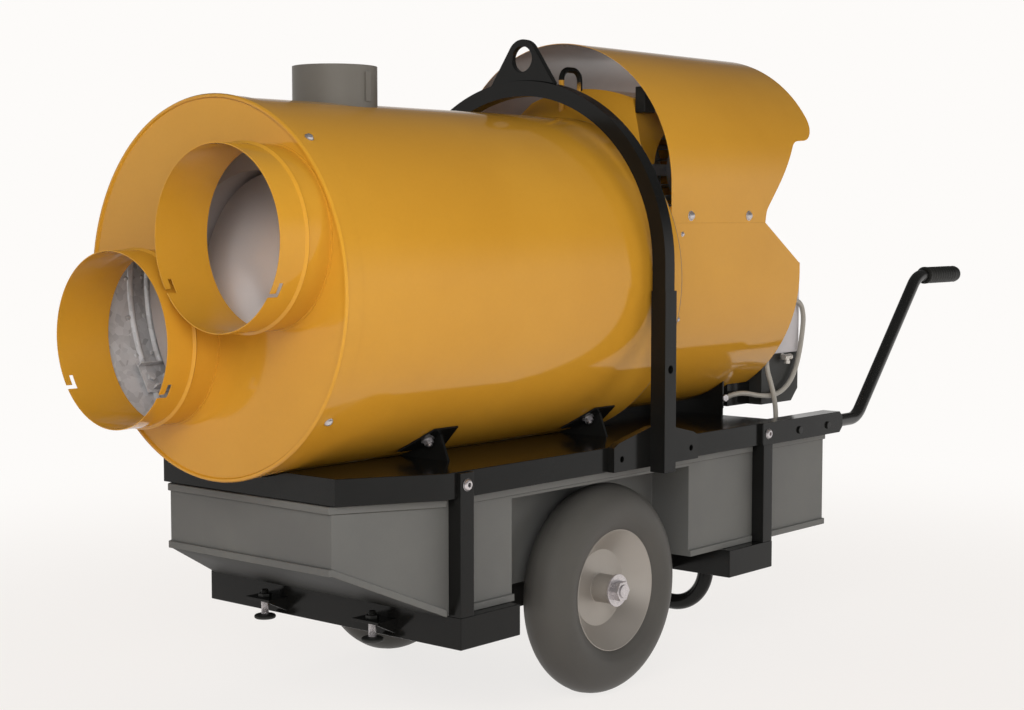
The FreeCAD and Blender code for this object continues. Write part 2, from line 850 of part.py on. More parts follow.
def nose_lips(nose_rear):
    """The lips round the tank's nose, one along its top edge and one along its raked keel."""
    proud = tank_front - d.tank_lip
    side = d.tank_half_width + d.tank_lip
    nose = d.tank_nose_half_width
    plan = ((proud, -nose), (nose_rear, -side), (nose_rear, side), (proud, nose))
    height = d.tank_lip_height
    low = beam_top + d.tank_nose_rise
    band = ((proud, low), (tank_front, low), (nose_rear, beam_top), (nose_rear, beam_top + height),
            (tank_front, low + height), (proud, low + height))
    upper = plate("nose_upper_lip", "z", plan, (tank_top - height, tank_top))
    form = plate("nose_lip_form", "z", plan, (beam_top, tank_top))
    return upper, common("nose_keel_lip", form, plate("nose_keel_band", "y", band, (-side, side)))


def fuel_tank():
    """The moulded tank with a raked nose, wheel wells, edge lips and a filler neck."""
    nose_rear = tank_front + d.tank_nose_length
    half = d.tank_half_width
    nose = d.tank_nose_half_width
    plan = ((tank_front, -nose), (nose_rear, -half), (tank_rear, -half), (tank_rear, half),
            (nose_rear, half), (tank_front, nose))
    whole = [plate("tank_hull", "z", plan, (beam_top, tank_top))]
    lip_bands = ((beam_top, beam_top + d.tank_lip_height), (tank_top - d.tank_lip_height, tank_top))
    margin = d.tank_lip_margin
    stretches = ((front_strap[1] + margin, rear_strap[0] - margin), (rear_strap[1] + margin, tank_rear))
    for side, sign in SIDES:
        for band in lip_bands:
            for stretch in stretches:
                whole.append(box(f"{side}_tank_lip", stretch, span(sign, half - 1, half + d.tank_lip), band))
    whole.extend(nose_lips(nose_rear))
    filler_x = rail_rear - d.filler_behind
    across = (filler_x, d.filler_offset)
    neck_top = tank_top + d.filler_height
    whole.append(rod("tank_neck", "z", d.filler_radius, (tank_top - d.tank_wall, neck_top), across))
    wells = []
    well = (d.axle_x - d.well_ahead, d.axle_x + d.well_behind)
    well_top = axle_z + d.tyre_radius + d.well_clearance
    for side, sign in SIDES:
        wells.append(box(f"{side}_wheel_well", well, span(sign, half - d.well_depth, half + d.tank_lip + 1),
                         (beam_top - 1, well_top)))
    ahead = tank_front - d.tank_lip - 1
    keel = ((ahead, beam_top - 1), (nose_rear, beam_top - 1), (nose_rear, beam_top),
            (tank_front, beam_top + d.tank_nose_rise), (ahead, beam_top + d.tank_nose_rise))
    rake = plate("tank_rake", "y", keel, (-half - 1, half + 1))
    wall = d.tank_wall
    low = beam_top + wall
    high = tank_top - wall
    narrow = half - d.well_depth - wall
    wide = half - wall
    rooms = [
        box("tank_nose_room", (tank_front + wall, nose_rear + wall), (-narrow, narrow),
            (low + d.tank_nose_rise, high)),
        box("tank_front_room", (nose_rear + wall, well[0] - wall), (-wide, wide), (low, high)),
        box("tank_middle_room", (well[0] - wall, well[1] + wall), (-narrow, narrow), (low, high)),
        box("tank_rear_room", (well[1] + wall, tank_rear - wall), (-wide, wide), (low, high)),
        rod("tank_neck_bore", "z", d.filler_radius - wall, (high - 1, neck_top + 1), across),
    ]
    cut("fuel_tank", fuse("tank_blank", *whole), rake, *wells, *rooms)
    cap_low = tank_top + d.seat_gap
    inner = d.filler_radius + d.seat_gap
    outer = inner + d.cap_wall
    roof = neck_top + d.seat_gap
    outline = ((cap_low, inner), (cap_low, outer), (cap_low + d.cap_height, outer),
               (cap_low + d.cap_height, 0), (roof, 0), (roof, inner))
    shell = lathe("cap_shell", "z", outline, (filler_x, d.filler_offset, 0))
    grip = box("cap_grip", (filler_x - outer + wall, filler_x + outer - wall),
               (d.filler_offset - d.cap_grip_width / 2, d.filler_offset + d.cap_grip_width / 2),
               (cap_low + d.cap_height - 1, cap_low + d.cap_height + d.cap_grip_height))
    fuse("fuel_cap", shell, grip)


def deck():
    """The folded deck with its rim, slotted along the middle for the barrel's belly."""
    half = d.deck_half_width
    nose = d.deck_nose_half_width
    nose_rear = deck_front + d.deck_nose_length
    tongue = side_face - d.side_rail_flange - d.deck_wall - d.seat_gap
    plan = ((deck_front, -nose), (nose_rear, -half), (rim_rear, -half), (rim_rear, -tongue),
            (deck_rear, -tongue), (deck_rear, tongue), (rim_rear, tongue), (rim_rear, half),
            (nose_rear, half), (deck_front, nose))
    whole = plate("deck_blank", "z", plan, (rim_bottom, deck_top))
    slope = (half - nose) / d.deck_nose_length
    steep = root(slope * slope + 1)
    wall = d.deck_wall
    inner_nose = nose - wall * (steep - slope)
    inner_rear = nose_rear + wall * (steep - 1) / slope
    inside = half - wall
    room = ((deck_front + wall, -inner_nose), (inner_rear, -inside), (rim_rear + 1, -inside),
            (rim_rear + 1, -tongue - 1), (deck_rear + 1, -tongue - 1), (deck_rear + 1, tongue + 1),
            (rim_rear + 1, tongue + 1), (rim_rear + 1, inside), (inner_rear, inside),
            (deck_front + wall, inner_nose))
    hollow = plate("deck_hollow", "z", room, (rim_bottom - 1, deck_top - wall))
    slot = box("deck_slot", (deck_front - 1, barrel_rear + d.deck_slot_rear_margin),
               (-d.deck_slot_half_width, d.deck_slot_half_width),
               (deck_top - d.deck_slot_depth, deck_top + 1))
    cut("deck", whole, hollow, slot)


def side_rail(side, sign):
    """A channel behind the deck's rim that carries a handle."""
    ends = (rim_rear, rail_rear)
    outer = side_face
    inner = outer - d.deck_wall - d.side_rail_flange
    wall = d.deck_wall
    whole = box(f"{side}_rail_outside", ends, span(sign, inner, outer), (rim_bottom, deck_top))
    hollow = box(f"{side}_rail_hollow", (ends[0] - 1, ends[1] + 1), span(sign, inner - 1, outer - wall),
                 (rim_bottom + wall, deck_top - wall))
    clips = []
    for label, near, far in (("lower", rim_bottom, 1), ("upper", deck_top, -1)):
        wedge = ((rail_rear - d.side_rail_clip, near), (rail_rear, near + far * d.side_rail_clip),
                 (rail_rear + 1, near + far * d.side_rail_clip), (rail_rear + 1, near - far),
                 (rail_rear - d.side_rail_clip, near - far))
        clips.append(plate(f"{side}_rail_{label}_clip", "y", wedge, span(sign, inner - 1, outer + 1)))
    holes = [rod(f"{side}_rail_hole", "y", d.handle_bolt_radius, span(sign, outer - wall - 1, outer + 1),
                 (x, handle_z)) for x in handle_bolt_places()]
    cut(f"{side}_rail", whole, hollow, *clips, *holes)


def handle_bolt_places():
    front = rim_rear + d.handle_bolt_front
    return front, front + d.handle_bolt_pitch


def handle(side, sign):
    """A bent tube, bolted in its rail, with a moulded grip."""
    y = d.handle_offset * sign
    start = rail_rear - d.handle_seat
    knee = rail_rear + d.handle_straight
    elbow = knee + d.handle_sweep
    tip = elbow + d.handle_reach
    high = handle_z + d.handle_rise
    corners = ((start, handle_z), (knee, handle_z), (elbow, high), (tip, high))
    points = [Vector(x.value, y.value, z.value) for x, z in corners]
    bar = bent_tube(f"{side}_handle_bar", points, [d.handle_bend.value] * 2, d.handle_radius, d.handle_wall)
    through = (y - d.handle_radius - 1, y + d.handle_radius + 1)
    holes = [rod(f"{side}_handle_hole", "y", d.handle_bolt_radius, through, (x, handle_z))
             for x in handle_bolt_places()]
    cut(f"{side}_handle", bar, *holes)
    inner = d.handle_radius + d.seat_gap / 2
    outer = inner + d.grip_wall
    cap = d.grip_wall
    grip_start = tip - d.grip_length + cap + d.seat_gap
    end = tip + cap + d.seat_gap
    outline = ((grip_start, inner), (grip_start, outer), (end - cap * 2, outer), (end - cap / 2, outer - cap),
               (end, inner - cap), (end, 0), (tip + d.seat_gap, 0), (tip + d.seat_gap, inner))
    lathe(f"{side}_grip", "x", outline, (0, y, high))


def handle_bolts():
    """Through bolts that hold both handles in their rails."""
    bolts = []
    for side, sign in SIDES:
        inner = d.handle_offset - d.handle_radius - d.seat_gap
        stretches = (
            ("shank", d.handle_bolt_radius, span(sign, inner, side_face + 1)),
            ("head", d.handle_bolt_head, span(sign, side_face, side_face + d.screw_height)),
            ("nut", d.handle_bolt_head, span(sign, inner - d.screw_height, inner)),
        )
        for x in handle_bolt_places():
            pieces = [rod(f"{side}_handle_{label}", "y", radius, ends, (x, handle_z))
                      for label, radius, ends in stretches]
            bolts.append(fuse(f"{side}_handle_bolt", *pieces))
    fuse("handle_bolts", *bolts)


def barrel():
    """The outer barrel, its front lid with two outlets, and its rear plate."""
    across = (0, axis_z)
    radius = d.barrel_radius
    skin = tube("barrel_tube", "x", radius, d.barrel_wall, (d.barrel_front, barrel_rear), across)
    flue_hole = rod("barrel_flue_hole", "z", d.flue_radius + d.seat_gap, (axis_z, flue_top), (flue_x, 0))
    cut("barrel_shell", skin, flue_hole)
    front = d.barrel_front
    skirt = radius + d.seat_gap
    outline = (
        (lid_face, 0), (lid_face, radius - d.lid_lip), (lid_face - d.lid_lip_depth, radius - d.lid_lip / 2),
        (lid_face - d.lid_lip_depth, radius + d.lid_lip / 2), (lid_face, radius + d.lid_lip),
        (front, radius + d.lid_lip), (front + d.barrel_wall, skirt + d.barrel_wall),
        (front + d.lid_skirt, skirt + d.barrel_wall), (front + d.lid_skirt, skirt), (front, skirt),
        (front, 0),
    )
    blank = lathe("lid_blank", "x", outline, (0, 0, axis_z))
    holes = [rod(f"{label}_lid_hole", "x", d.outlet_radius - d.outlet_wall, (lid_face - 1, front + 1),
                 (d.outlet_side * sign * -1, axis_z + d.outlet_up * sign)) for label, sign in OUTLETS]
    cut("front_lid", blank, *holes)
    disc = rod("rear_plate_disc", "x", radius, (barrel_rear, case_front), across)
    wall = d.barrel_wall
    through = (barrel_rear - 1, case_front + 1)
    window = common(
        "rear_plate_window",
        rod("rear_window_round", "x", radius - wall * 2, through, across),
        box("rear_window_top", through, (-radius, radius), (duct_floor + wall * 2, axis_z + radius)),
    )
    tunnel = rod("rear_plate_bore", "x", d.tunnel_radius + d.seat_gap, through, (0, burner_z))
    cut("rear_plate", disc, window, tunnel)


def outlet(label, sign):
    """A warm-air spigot with a bead and two bayonet slots at its rim."""
    centre = (d.outlet_side * sign * -1, axis_z + d.outlet_up * sign)
    radius = d.outlet_radius
    bore = radius - d.outlet_wall
    rim = lid_face - d.outlet_length
    bead = rim + d.outlet_bead_place
    flange = lid_face - d.outlet_wall
    outline = (
        (rim, bore), (rim, radius), (bead, radius), (bead + d.outlet_bead_width / 2, radius + d.outlet_bead),
        (bead + d.outlet_bead_width, radius), (flange, radius), (flange, radius + d.outlet_collar),
        (lid_face, radius + d.outlet_collar), (lid_face, bore),
    )
    spigot = lathe(f"{label}_outlet_spigot", "x", outline, (0, centre[0], centre[1]))
    slots = []
    for turn, hand in ((-d.notch_angle, 1), (d.notch_angle + 180, -1)):
        radii = (bore - 1, radius + 1)
        entry = (rim - 1, rim + d.notch_depth)
        slots.append(spoke(f"{label}_outlet_slot", entry, centre, turn, radii, d.notch_width))
        heel = turn + d.notch_turn * hand / 4
        slots.append(spoke(f"{label}_outlet_heel", (rim + d.notch_depth - d.notch_width, rim + d.notch_depth),
                           centre, heel, radii, d.notch_width + d.notch_turn))
    cut(f"{label}_outlet", spigot, *slots)


def chimney():
    """The flue stub, from the heat exchanger up through the barrel, with a seam strip."""
    across = (flue_x, 0)
    pipe = rod("chimney_outside", "z", d.flue_radius, (axis_z + d.exchanger_inner, flue_top), across)
    seam_y = (-d.flue_radius - d.flue_seam_thickness, -d.flue_radius + d.flue_seam_width)
    seam = box("chimney_seam", (flue_x, flue_x + d.flue_seam_width), seam_y,
               (axis_z + d.barrel_radius + d.flue_wall, flue_top - d.flue_seam_width))
    drum_ends = (flue_x - d.flue_radius * 2, flue_x + d.flue_radius * 2)
    drum = rod("chimney_drum", "x", d.exchanger_outer + d.seat_gap, drum_ends, (0, axis_z))
    bore = rod("chimney_bore", "z", d.flue_radius - d.flue_wall, (axis_z, flue_top + 1), across)
    cut("chimney_stub", fuse("chimney_blank", pipe, seam), drum, bore)


def chamber_form(label, inset):
    """The chamber's outline drawn in by an inset: a drum with a shallow domed front."""
    radius = d.chamber_radius - inset
    dome = d.chamber_dome_radius - inset
    apex = d.barrel_front + d.chamber_front_inset + inset
    rear = barrel_rear - d.chamber_rear_inset - inset
    start = apex + dome - half_chord(dome, radius)
    drum = rod(f"{label}_drum", "x", radius, (start, rear), (0, axis_z))
    cap = common(f"{label}_dome", ball(f"{label}_ball", dome, (apex + dome, 0, axis_z)),
                 rod(f"{label}_dome_limit", "x", radius, (apex - 1, start + 1), (0, axis_z)))
    return fuse(label, drum, cap)


def fire_parts():
    """The combustion chamber, the ring-shaped heat exchanger round it, and their supports."""
    rear = barrel_rear - d.chamber_rear_inset
    throat = rod("chamber_throat", "x", d.tunnel_radius + d.seat_gap, (rear - d.chamber_wall * 2, rear + 1),
                 (0, burner_z))
    cut("combustion_chamber", chamber_form("chamber_outside", as_size(0)),
        chamber_form("chamber_inside", d.chamber_wall), throat)
    ends = (d.barrel_front + d.exchanger_front_inset, barrel_rear - d.exchanger_rear_inset)
    across = (0, axis_z)
    wall = d.exchanger_wall
    thick = d.exchanger_outer - d.chamber_radius - d.seat_gap
    drum = tube("exchanger_drum", "x", d.exchanger_outer, thick, ends, across)
    room_ends = (ends[0] + wall, ends[1] - wall)
    room_outer = d.exchanger_outer - wall
    room = cut("exchanger_room", rod("exchanger_room_outside", "x", room_outer, room_ends, across),
               rod("exchanger_room_inside", "x", d.exchanger_inner, room_ends, across))
    gap_outer = d.exchanger_inner - wall
    sleeve = tube("exchanger_air_gap", "x", gap_outer, gap_outer - d.chamber_radius, room_ends, across)
    mouth = rod("exchanger_flue_mouth", "z", d.flue_radius - d.flue_wall,
                (axis_z + d.exchanger_inner + wall, flue_top), (flue_x, 0))
    cut("heat_exchanger", drum, room, sleeve, mouth)
    bands = []
    band_radius = d.exchanger_outer + d.seat_gap + d.band_thickness
    for label, start in (("front", ends[0] + d.band_inset), ("rear", ends[1] - d.band_inset - d.band_width)):
        stretch = (start, start + d.band_width)
        bands.append(tube(f"{label}_band", "x", band_radius, d.band_thickness, stretch, across))
    fuse("exchanger_bands", *bands)
    blocks = []
    gap = d.seat_gap
    ring_radius = d.barrel_radius - d.barrel_wall - gap
    ring_wall = ring_radius - d.exchanger_outer - gap
    levels = (("lower", (axis_z - ring_radius, axis_z)), ("upper", (axis_z, axis_z + ring_radius)))
    for label, start in (("front", ends[0] + d.band_inset * 2 + d.band_width),
                         ("rear", ends[1] - d.band_inset * 2 - d.band_width - d.bracket_length)):
        stretch = (start, start + d.bracket_length)
        for side, sign in SIDES:
            breadth = span(sign, d.bracket_inner, d.bracket_outer)
            for level, height in levels:
                name = f"{label}_{side}_{level}_bracket"
                ring = tube(f"{name}_ring", "x", ring_radius, ring_wall, stretch, across)
                blocks.append(common(name, ring, box(f"{name}_block", stretch, breadth, height)))
    fuse("exchanger_brackets", *blocks)


def burner():
    """The blast tunnel, the burner's grey housing and black base, and its fuel pump."""
    start = barrel_rear - d.chamber_rear_inset - d.chamber_wall
    across = (0, burner_z)
    pipe = rod("tunnel_outside", "x", d.tunnel_radius, (start, burner_front), across)
    flange_ends = (burner_front - d.tunnel_flange_thickness, burner_front)
    flange = rod("tunnel_flange", "x", d.tunnel_flange_radius, flange_ends, across)
    bore = rod("tunnel_bore", "x", d.tunnel_radius - d.tunnel_wall, (start - 1, burner_front + 1), across)
    cut("burner_tunnel", fuse("tunnel_blank", pipe, flange), bore)
    half = d.burner_half_width
    profile = ((burner_front, base_bottom), (burner_rear - d.burner_clip, base_bottom),
               (burner_rear, base_bottom + d.burner_clip), (burner_rear, base_top), (burner_front, base_top))
    block = plate("burner_base_block", "y", profile, (-half, half))
    wall = d.burner_wall
    room = box("burner_base_room", (burner_front + wall, burner_rear - d.burner_clip - wall),
               (wall - half, half - wall), (base_bottom + wall, base_top + 1))
    bleed_x = burner_front + d.bleed_place
    bleed_z = base_top - d.bleed_drop
    bleed_y = -half - d.bleed_length
    bleed = fuse("burner_bleed",
                 rod("bleed_stem", "y", d.bleed_radius, (bleed_y, 1 - half), (bleed_x, bleed_z)),
                 rod("bleed_bar", "x", d.bleed_radius, (bleed_x - d.bleed_length, bleed_x + d.bleed_length),
                     (bleed_y, bleed_z)),
                 rod("bleed_drain", "z", d.bleed_radius, (bleed_z - d.bleed_length, bleed_z),
                     (bleed_x, bleed_y)))
    cut("burner_base", fuse("burner_base_blank", block, bleed), room)
    corner = d.burner_corner
    top = base_top + d.burner_top_height
    rear = burner_rear + d.burner_overhang
    plan = ((burner_front, -half), (rear - corner, -half), (rear, -half + corner),
            (rear, half - corner), (rear - corner, half), (burner_front, half))
    cover = plate("burner_housing_block", "z", plan, (base_top, top))
    inside = box("burner_housing_room", (burner_front + wall, rear - corner),
                 (wall - half, half - wall), (base_top - 1, top - wall))
    mouth = rod("burner_housing_mouth", "x", d.tunnel_radius - d.tunnel_wall,
                (burner_front - 1, burner_front + wall + 1), across)
    cut("burner_housing", cover, inside, mouth)
    outer = half + d.pump_overhang
    height = (base_top, base_top + d.pump_height)
    fuse("fuel_pump",
         box("pump_body", (burner_front - d.pump_length, burner_front), (-outer, d.pump_width - outer),
             height),
         box("pump_lug", (burner_front, burner_front + d.pump_lap), (-outer, -half), height))


def fuel_lines():
    """Supply and return hoses with their tank fittings and the elbow on the burner."""
    corner = Vector(burner_front.value, -d.burner_half_width.value, tank_top.value)
    fitting = d.fitting_height.value
    supply = [corner + Vector(*step) for step in (
        (26, -22, fitting), (26, -22, 44), (18, -22.5, 76), (8, -20, 110), (-1, -13, 144),
        (-1, -13, base_top.value - tank_top.value))]
    side = -d.fitting_radius.value
    back = [corner + Vector(*step) for step in (
        (-104, 60, fitting), (-104, 60, 40), (-102, 48, 68), (-92, 24, 88), (-69, 2, 94), (-24, side, 84),
        (36, side, 80), (86, side, 94), (121, side, 125), (142, side, 172), (154, side, 222),
        (157, side, 251), (148, side, 277), (127, side, 289), (104, side, 289))]
    hose("supply_hose", supply)
    hose("return_hose", back)
    stubs = []
    for label, point in (("supply", supply[0]), ("return", back[0])):
        ends = (tank_top, tank_top + d.fitting_height)
        stubs.append(rod(f"{label}_fitting", "z", d.fitting_radius, ends, (point.x, point.y)))
    end = back[-1]
    half = d.elbow_length / 2
    elbow = box("return_elbow", (end.x - d.elbow_length, end.x),
                (end.y - d.fitting_radius, -d.burner_half_width), (end.z - half, end.z + half))
    fuse("hose_fittings", *stubs, elbow)


def case_form(label, centre_z, inset, ends):
    """A round bar along the casing, drawn in by an inset."""
    return rod(label, "x", d.case_half_width - inset, ends, (0, centre_z))


def lower_shell():
    """The lower half of the rear casing, a trough with its rear top corners cut back."""
    ends = (case_front, shell_rear)
    half = d.case_half_width
    wall = d.case_wall
    whole = fuse("shell_blank", case_form("shell_round", case_z, as_size(0), ends),
                 box("shell_sides", ends, (-half, half), (case_z, seam_z)))
    longer = (ends[0] - 1, ends[1] + 1)
    room = fuse("shell_room", case_form("shell_room_round", case_z, wall, longer),
                box("shell_room_sides", longer, (wall - half, half - wall), (case_z, case_z + half * 2)))
    lid = box("shell_open_top", longer, (-half - 1, half + 1), (seam_z, case_z + half * 2))
    corner = ((shell_rear - d.shell_cut_length, seam_z), (shell_rear, seam_z - d.shell_cut_drop),
              (shell_rear + 1, seam_z - d.shell_cut_drop), (shell_rear + 1, seam_z + 1),
              (shell_rear - d.shell_cut_length, seam_z + 1))
    clip = plate("shell_corner_cut", "y", corner, (-half - 1, half + 1))
    skin = cut("shell_skin", whole, room, lid, clip)
    strips = []
    for side, sign in SIDES:
        strips.append(box(f"{side}_join_strip", (hood_front, hood_front + d.strip_length),
                          span(sign, half - wall - d.strip_thickness, half - wall),
                          (seam_z - d.strip_height / 2, seam_z + d.strip_height / 2)))
    fuse("lower_shell", skin, *strips)


def rear_hood():
    """The upper half of the rear casing, a hood open at the front with a swept tail."""
    half = d.case_half_width
    wall = d.case_wall
    tail = hood_front + d.hood_length
    ends = (hood_front, tail + wall)
    whole = fuse("hood_blank", case_form("hood_round", crown_z, as_size(0), ends),
                 box("hood_sides", ends, (-half, half), (seam_z, crown_z)))
    longer = (ends[0] - 1, ends[1] + 1)
    low = crown_z - half * 2
    room = fuse("hood_room", case_form("hood_room_round", crown_z, wall, longer),
                box("hood_room_sides", longer, (wall - half, half - wall), (low, crown_z)))
    floor = box("hood_open_bottom", longer, (-half - 1, half + 1), (low, seam_z))
    cut("rear_hood", whole, room, floor, hood_tail_cut(tail, tail + wall * 2))


def hood_tail_cut(tail, beyond):
    """The tool that trims the hood's tail to a round lobe and a slope down to the waist."""
    waist = hood_front + d.hood_side_length
    half = d.case_half_width
    top = crown_z + half + 1
    low = seam_z - 1
    start = -half - 1

    def corner(x, z):
        return Vector(x.value, start.value, z.value)

    edge = bend_path([
        corner(tail, top), corner(tail, seam_z + d.hood_lobe_rise),
        corner(hood_front + d.hood_slope_length, seam_z + d.hood_slope_rise),
        corner(waist + d.hood_waist_lead, seam_z + d.hood_waist_rise), corner(waist, low),
    ], [d.hood_lobe_bend.value, d.hood_slope_bend.value, d.hood_waist_bend.value])
    rest = Part.makePolygon([corner(waist, low), corner(beyond, low), corner(beyond, top), corner(tail, top)])
    face = Part.Face(Part.Wire(Part.__sortEdges__(edge.Edges + rest.Edges)))
    return shaped("hood_tail_cut", face.extrude(Vector(0, -2 * start.value, 0)))


def duct_form(inset, lengthen):
    """The duct from the barrel's round end to the blower's arched mouth, as one loft."""
    inset = inset.value
    radius = d.barrel_radius.value - inset
    middle = axis_z.value
    floor = duct_floor.value + inset
    half = d.duct_half_width.value - inset
    crown = d.duct_crown_radius.value - inset
    crown_middle = crown_centre.value
    corner = math.radians(d.duct_corner_angle.value)
    foot = math.asin((floor - middle) / radius)

    def ring(x, angle):
        return Vector(x, radius * math.cos(angle), middle + radius * math.sin(angle))

    def arch(x, y):
        return Vector(x, y, crown_middle + math.sqrt(crown ** 2 - y ** 2))

    x = case_front.value - lengthen
    between = (foot + corner) / 2
    front = [
        Part.LineSegment(ring(x, math.pi - foot), ring(x, foot)),
        Part.Arc(ring(x, foot), ring(x, between), ring(x, corner)),
        Part.Arc(ring(x, corner), ring(x, math.pi / 2), ring(x, math.pi - corner)),
        Part.Arc(ring(x, math.pi - corner), ring(x, math.pi - between), ring(x, math.pi - foot)),
    ]
    x = duct_rear.value + lengthen
    rear = [
        Part.LineSegment(Vector(x, -half, floor), Vector(x, half, floor)),
        Part.LineSegment(Vector(x, half, floor), arch(x, half)),
        Part.Arc(arch(x, half), arch(x, 0), arch(x, -half)),
        Part.LineSegment(arch(x, -half), Vector(x, -half, floor)),
    ]
    wires = [Part.Wire([edge.toShape() for edge in edges]) for edges in (front, rear)]
    return Part.makeLoft(wires, True, True)


def air_duct():
    """The yellow duct between blower and barrel, with a bow handle on its top."""
    skin = duct_form(as_size(0), 0).cut(duct_form(d.case_wall, 0))
    top = duct_crown.value + d.duct_handle_top.value - d.duct_handle_radius.value
    front = case_front.value + d.duct_handle_front.value
    rear = case_front.value + d.duct_handle_rear.value
    foot = axis_z.value + d.barrel_radius.value
    points = [Vector(x, 0, z) for x, z in ((front, foot), (front, top), (rear, top), (rear, foot))]
    bow = swept(bend_path(points, [d.duct_handle_bend.value] * 2), d.duct_handle_radius.value)
    shaped("air_duct", skin.fuse(bow.cut(duct_form(as_size(0), 1))))


def neck_form(label, inset, ends):
    """The blower's outlet neck with its arched top, drawn in by an inset."""
    half = d.duct_half_width - inset
    return common(label, box(f"{label}_sides", ends, (-half, half), (duct_floor + inset, duct_crown)),
                  rod(f"{label}_crown", "x", d.duct_crown_radius - inset, ends, (0, crown_centre)))


def blower():
    """The double-inlet blower: housing, vaned wheel on its shaft, motor and shelf."""
    half = d.duct_half_width
    wall = d.scroll_wall
    across = (scroll_x, scroll_z)
    scroll = rod("scroll_outside", "y", d.scroll_radius, (-half, half), across)
    neck = neck_form("neck_outside", as_size(0), (duct_rear, scroll_x))
    reach = d.scroll_foot_length / 2
    foot = box("scroll_foot", (scroll_x - reach, scroll_x + reach), (-half, half),
               (shelf_top, shelf_top + d.scroll_foot_height))
    room = rod("scroll_room", "y", d.scroll_radius - wall, (wall - half, half - wall), across)
    throat = neck_form("neck_inside", wall, (duct_rear - 1, scroll_x))
    eyes = rod("scroll_eyes", "y", d.inlet_radius, (-half - 1, half + 1), across)
    cut("blower_housing", fuse("scroll_blank", scroll, neck, foot), room, throat, eyes)
    blower_wheel(across)
    motor_face = -half - d.motor_arm_thickness
    motor_end = motor_face - d.motor_length
    frame = rod("motor_frame", "y", d.motor_radius, (motor_end, motor_face), across)
    arm = d.motor_arm_width / 2
    reach = d.motor_arm_reach
    arms = [
        box("motor_level_arm", (scroll_x - reach, scroll_x + reach), (motor_face, -half),
            (scroll_z - arm, scroll_z + arm)),
        box("motor_upright_arm", (scroll_x - arm, scroll_x + arm), (motor_face, -half),
            (scroll_z - reach, scroll_z + reach)),
    ]
    shaft_hole = rod("motor_shaft_hole", "y", d.shaft_radius + d.running_gap,
                     (motor_end + d.motor_wall, -half + 1), across)
    cut("blower_motor", fuse("motor_blank", frame, *arms), shaft_hole)
    side = d.case_half_width - d.case_wall - d.seat_gap
    shelf_front = case_front + d.shelf_front
    box("blower_shelf", (shelf_front, shelf_front + d.shelf_length), (-side, side),
        (shelf_top - d.shelf_thickness, shelf_top))
    junction_front = duct_rear + d.scroll_wall * 3
    box("junction_box", (junction_front, junction_front + d.junction_length),
        (-half - d.junction_depth, -half),
        (duct_crown - d.junction_overhang - d.junction_height / 2, duct_crown))


def blower_wheel(across):
    """A wheel with a centre disc, two rims and blades all round, on its shaft."""
    body = doc.addObject("PartDesign::Body", "wheel_vanes")
    disc = d.wheel_disc / 2
    hub = d.wheel_hub_radius
    edge = d.wheel_radius - d.blade_depth / 2
    pad = body.newObject("PartDesign::Pad", "wheel_spider")
    spider = ((hub / 2, -hub), (edge, -hub), (edge, hub), (hub / 2, hub))
    pad.Profile = draw(body, "wheel_spider_outline", spider)
    pad.Midplane = True
    bind(pad, "Length", disc * 2)
    blade = body.newObject("PartDesign::Pad", "wheel_blade")
    thick = d.blade_thickness / 2
    near = d.wheel_radius - d.blade_depth
    far = d.wheel_radius - 1
    vane = ((near, -thick), (far, -thick), (far, thick), (near, thick))
    blade.Profile = draw(body, "wheel_blade_outline", vane)
    blade.Midplane = True
    bind(blade, "Length", d.wheel_half_width * 2)
    doc.recompute()
    ring = body.newObject("PartDesign::PolarPattern", "wheel_blades")
    ring.Originals = [pad, blade]
    ring.Axis = (blade.Profile[0], ["N_Axis"])
    ring.Angle = 360
    ring.Occurrences = BLADE_COUNT
    body.Tip = ring
    put(body, along("y", 0, across), ROD_TURN["y"])
    rims = []
    for label, sign in SIDES:
        ends = span(sign, d.wheel_half_width - d.wheel_rim_thickness, d.wheel_half_width)
        rims.append(tube(f"{label}_wheel_rim", "y", d.wheel_radius, d.wheel_rim, ends, across))
    motor_end = -d.duct_half_width - d.motor_arm_thickness - d.motor_length + d.motor_wall
    shaft = rod("wheel_shaft", "y", d.shaft_radius, (motor_end + d.seat_gap, d.wheel_hub_length / 2), across)
    boss = rod("wheel_boss", "y", hub, (-d.wheel_hub_length / 2, d.wheel_hub_length / 2), across)
    fuse("blower_wheel", body, *rims, shaft, boss)


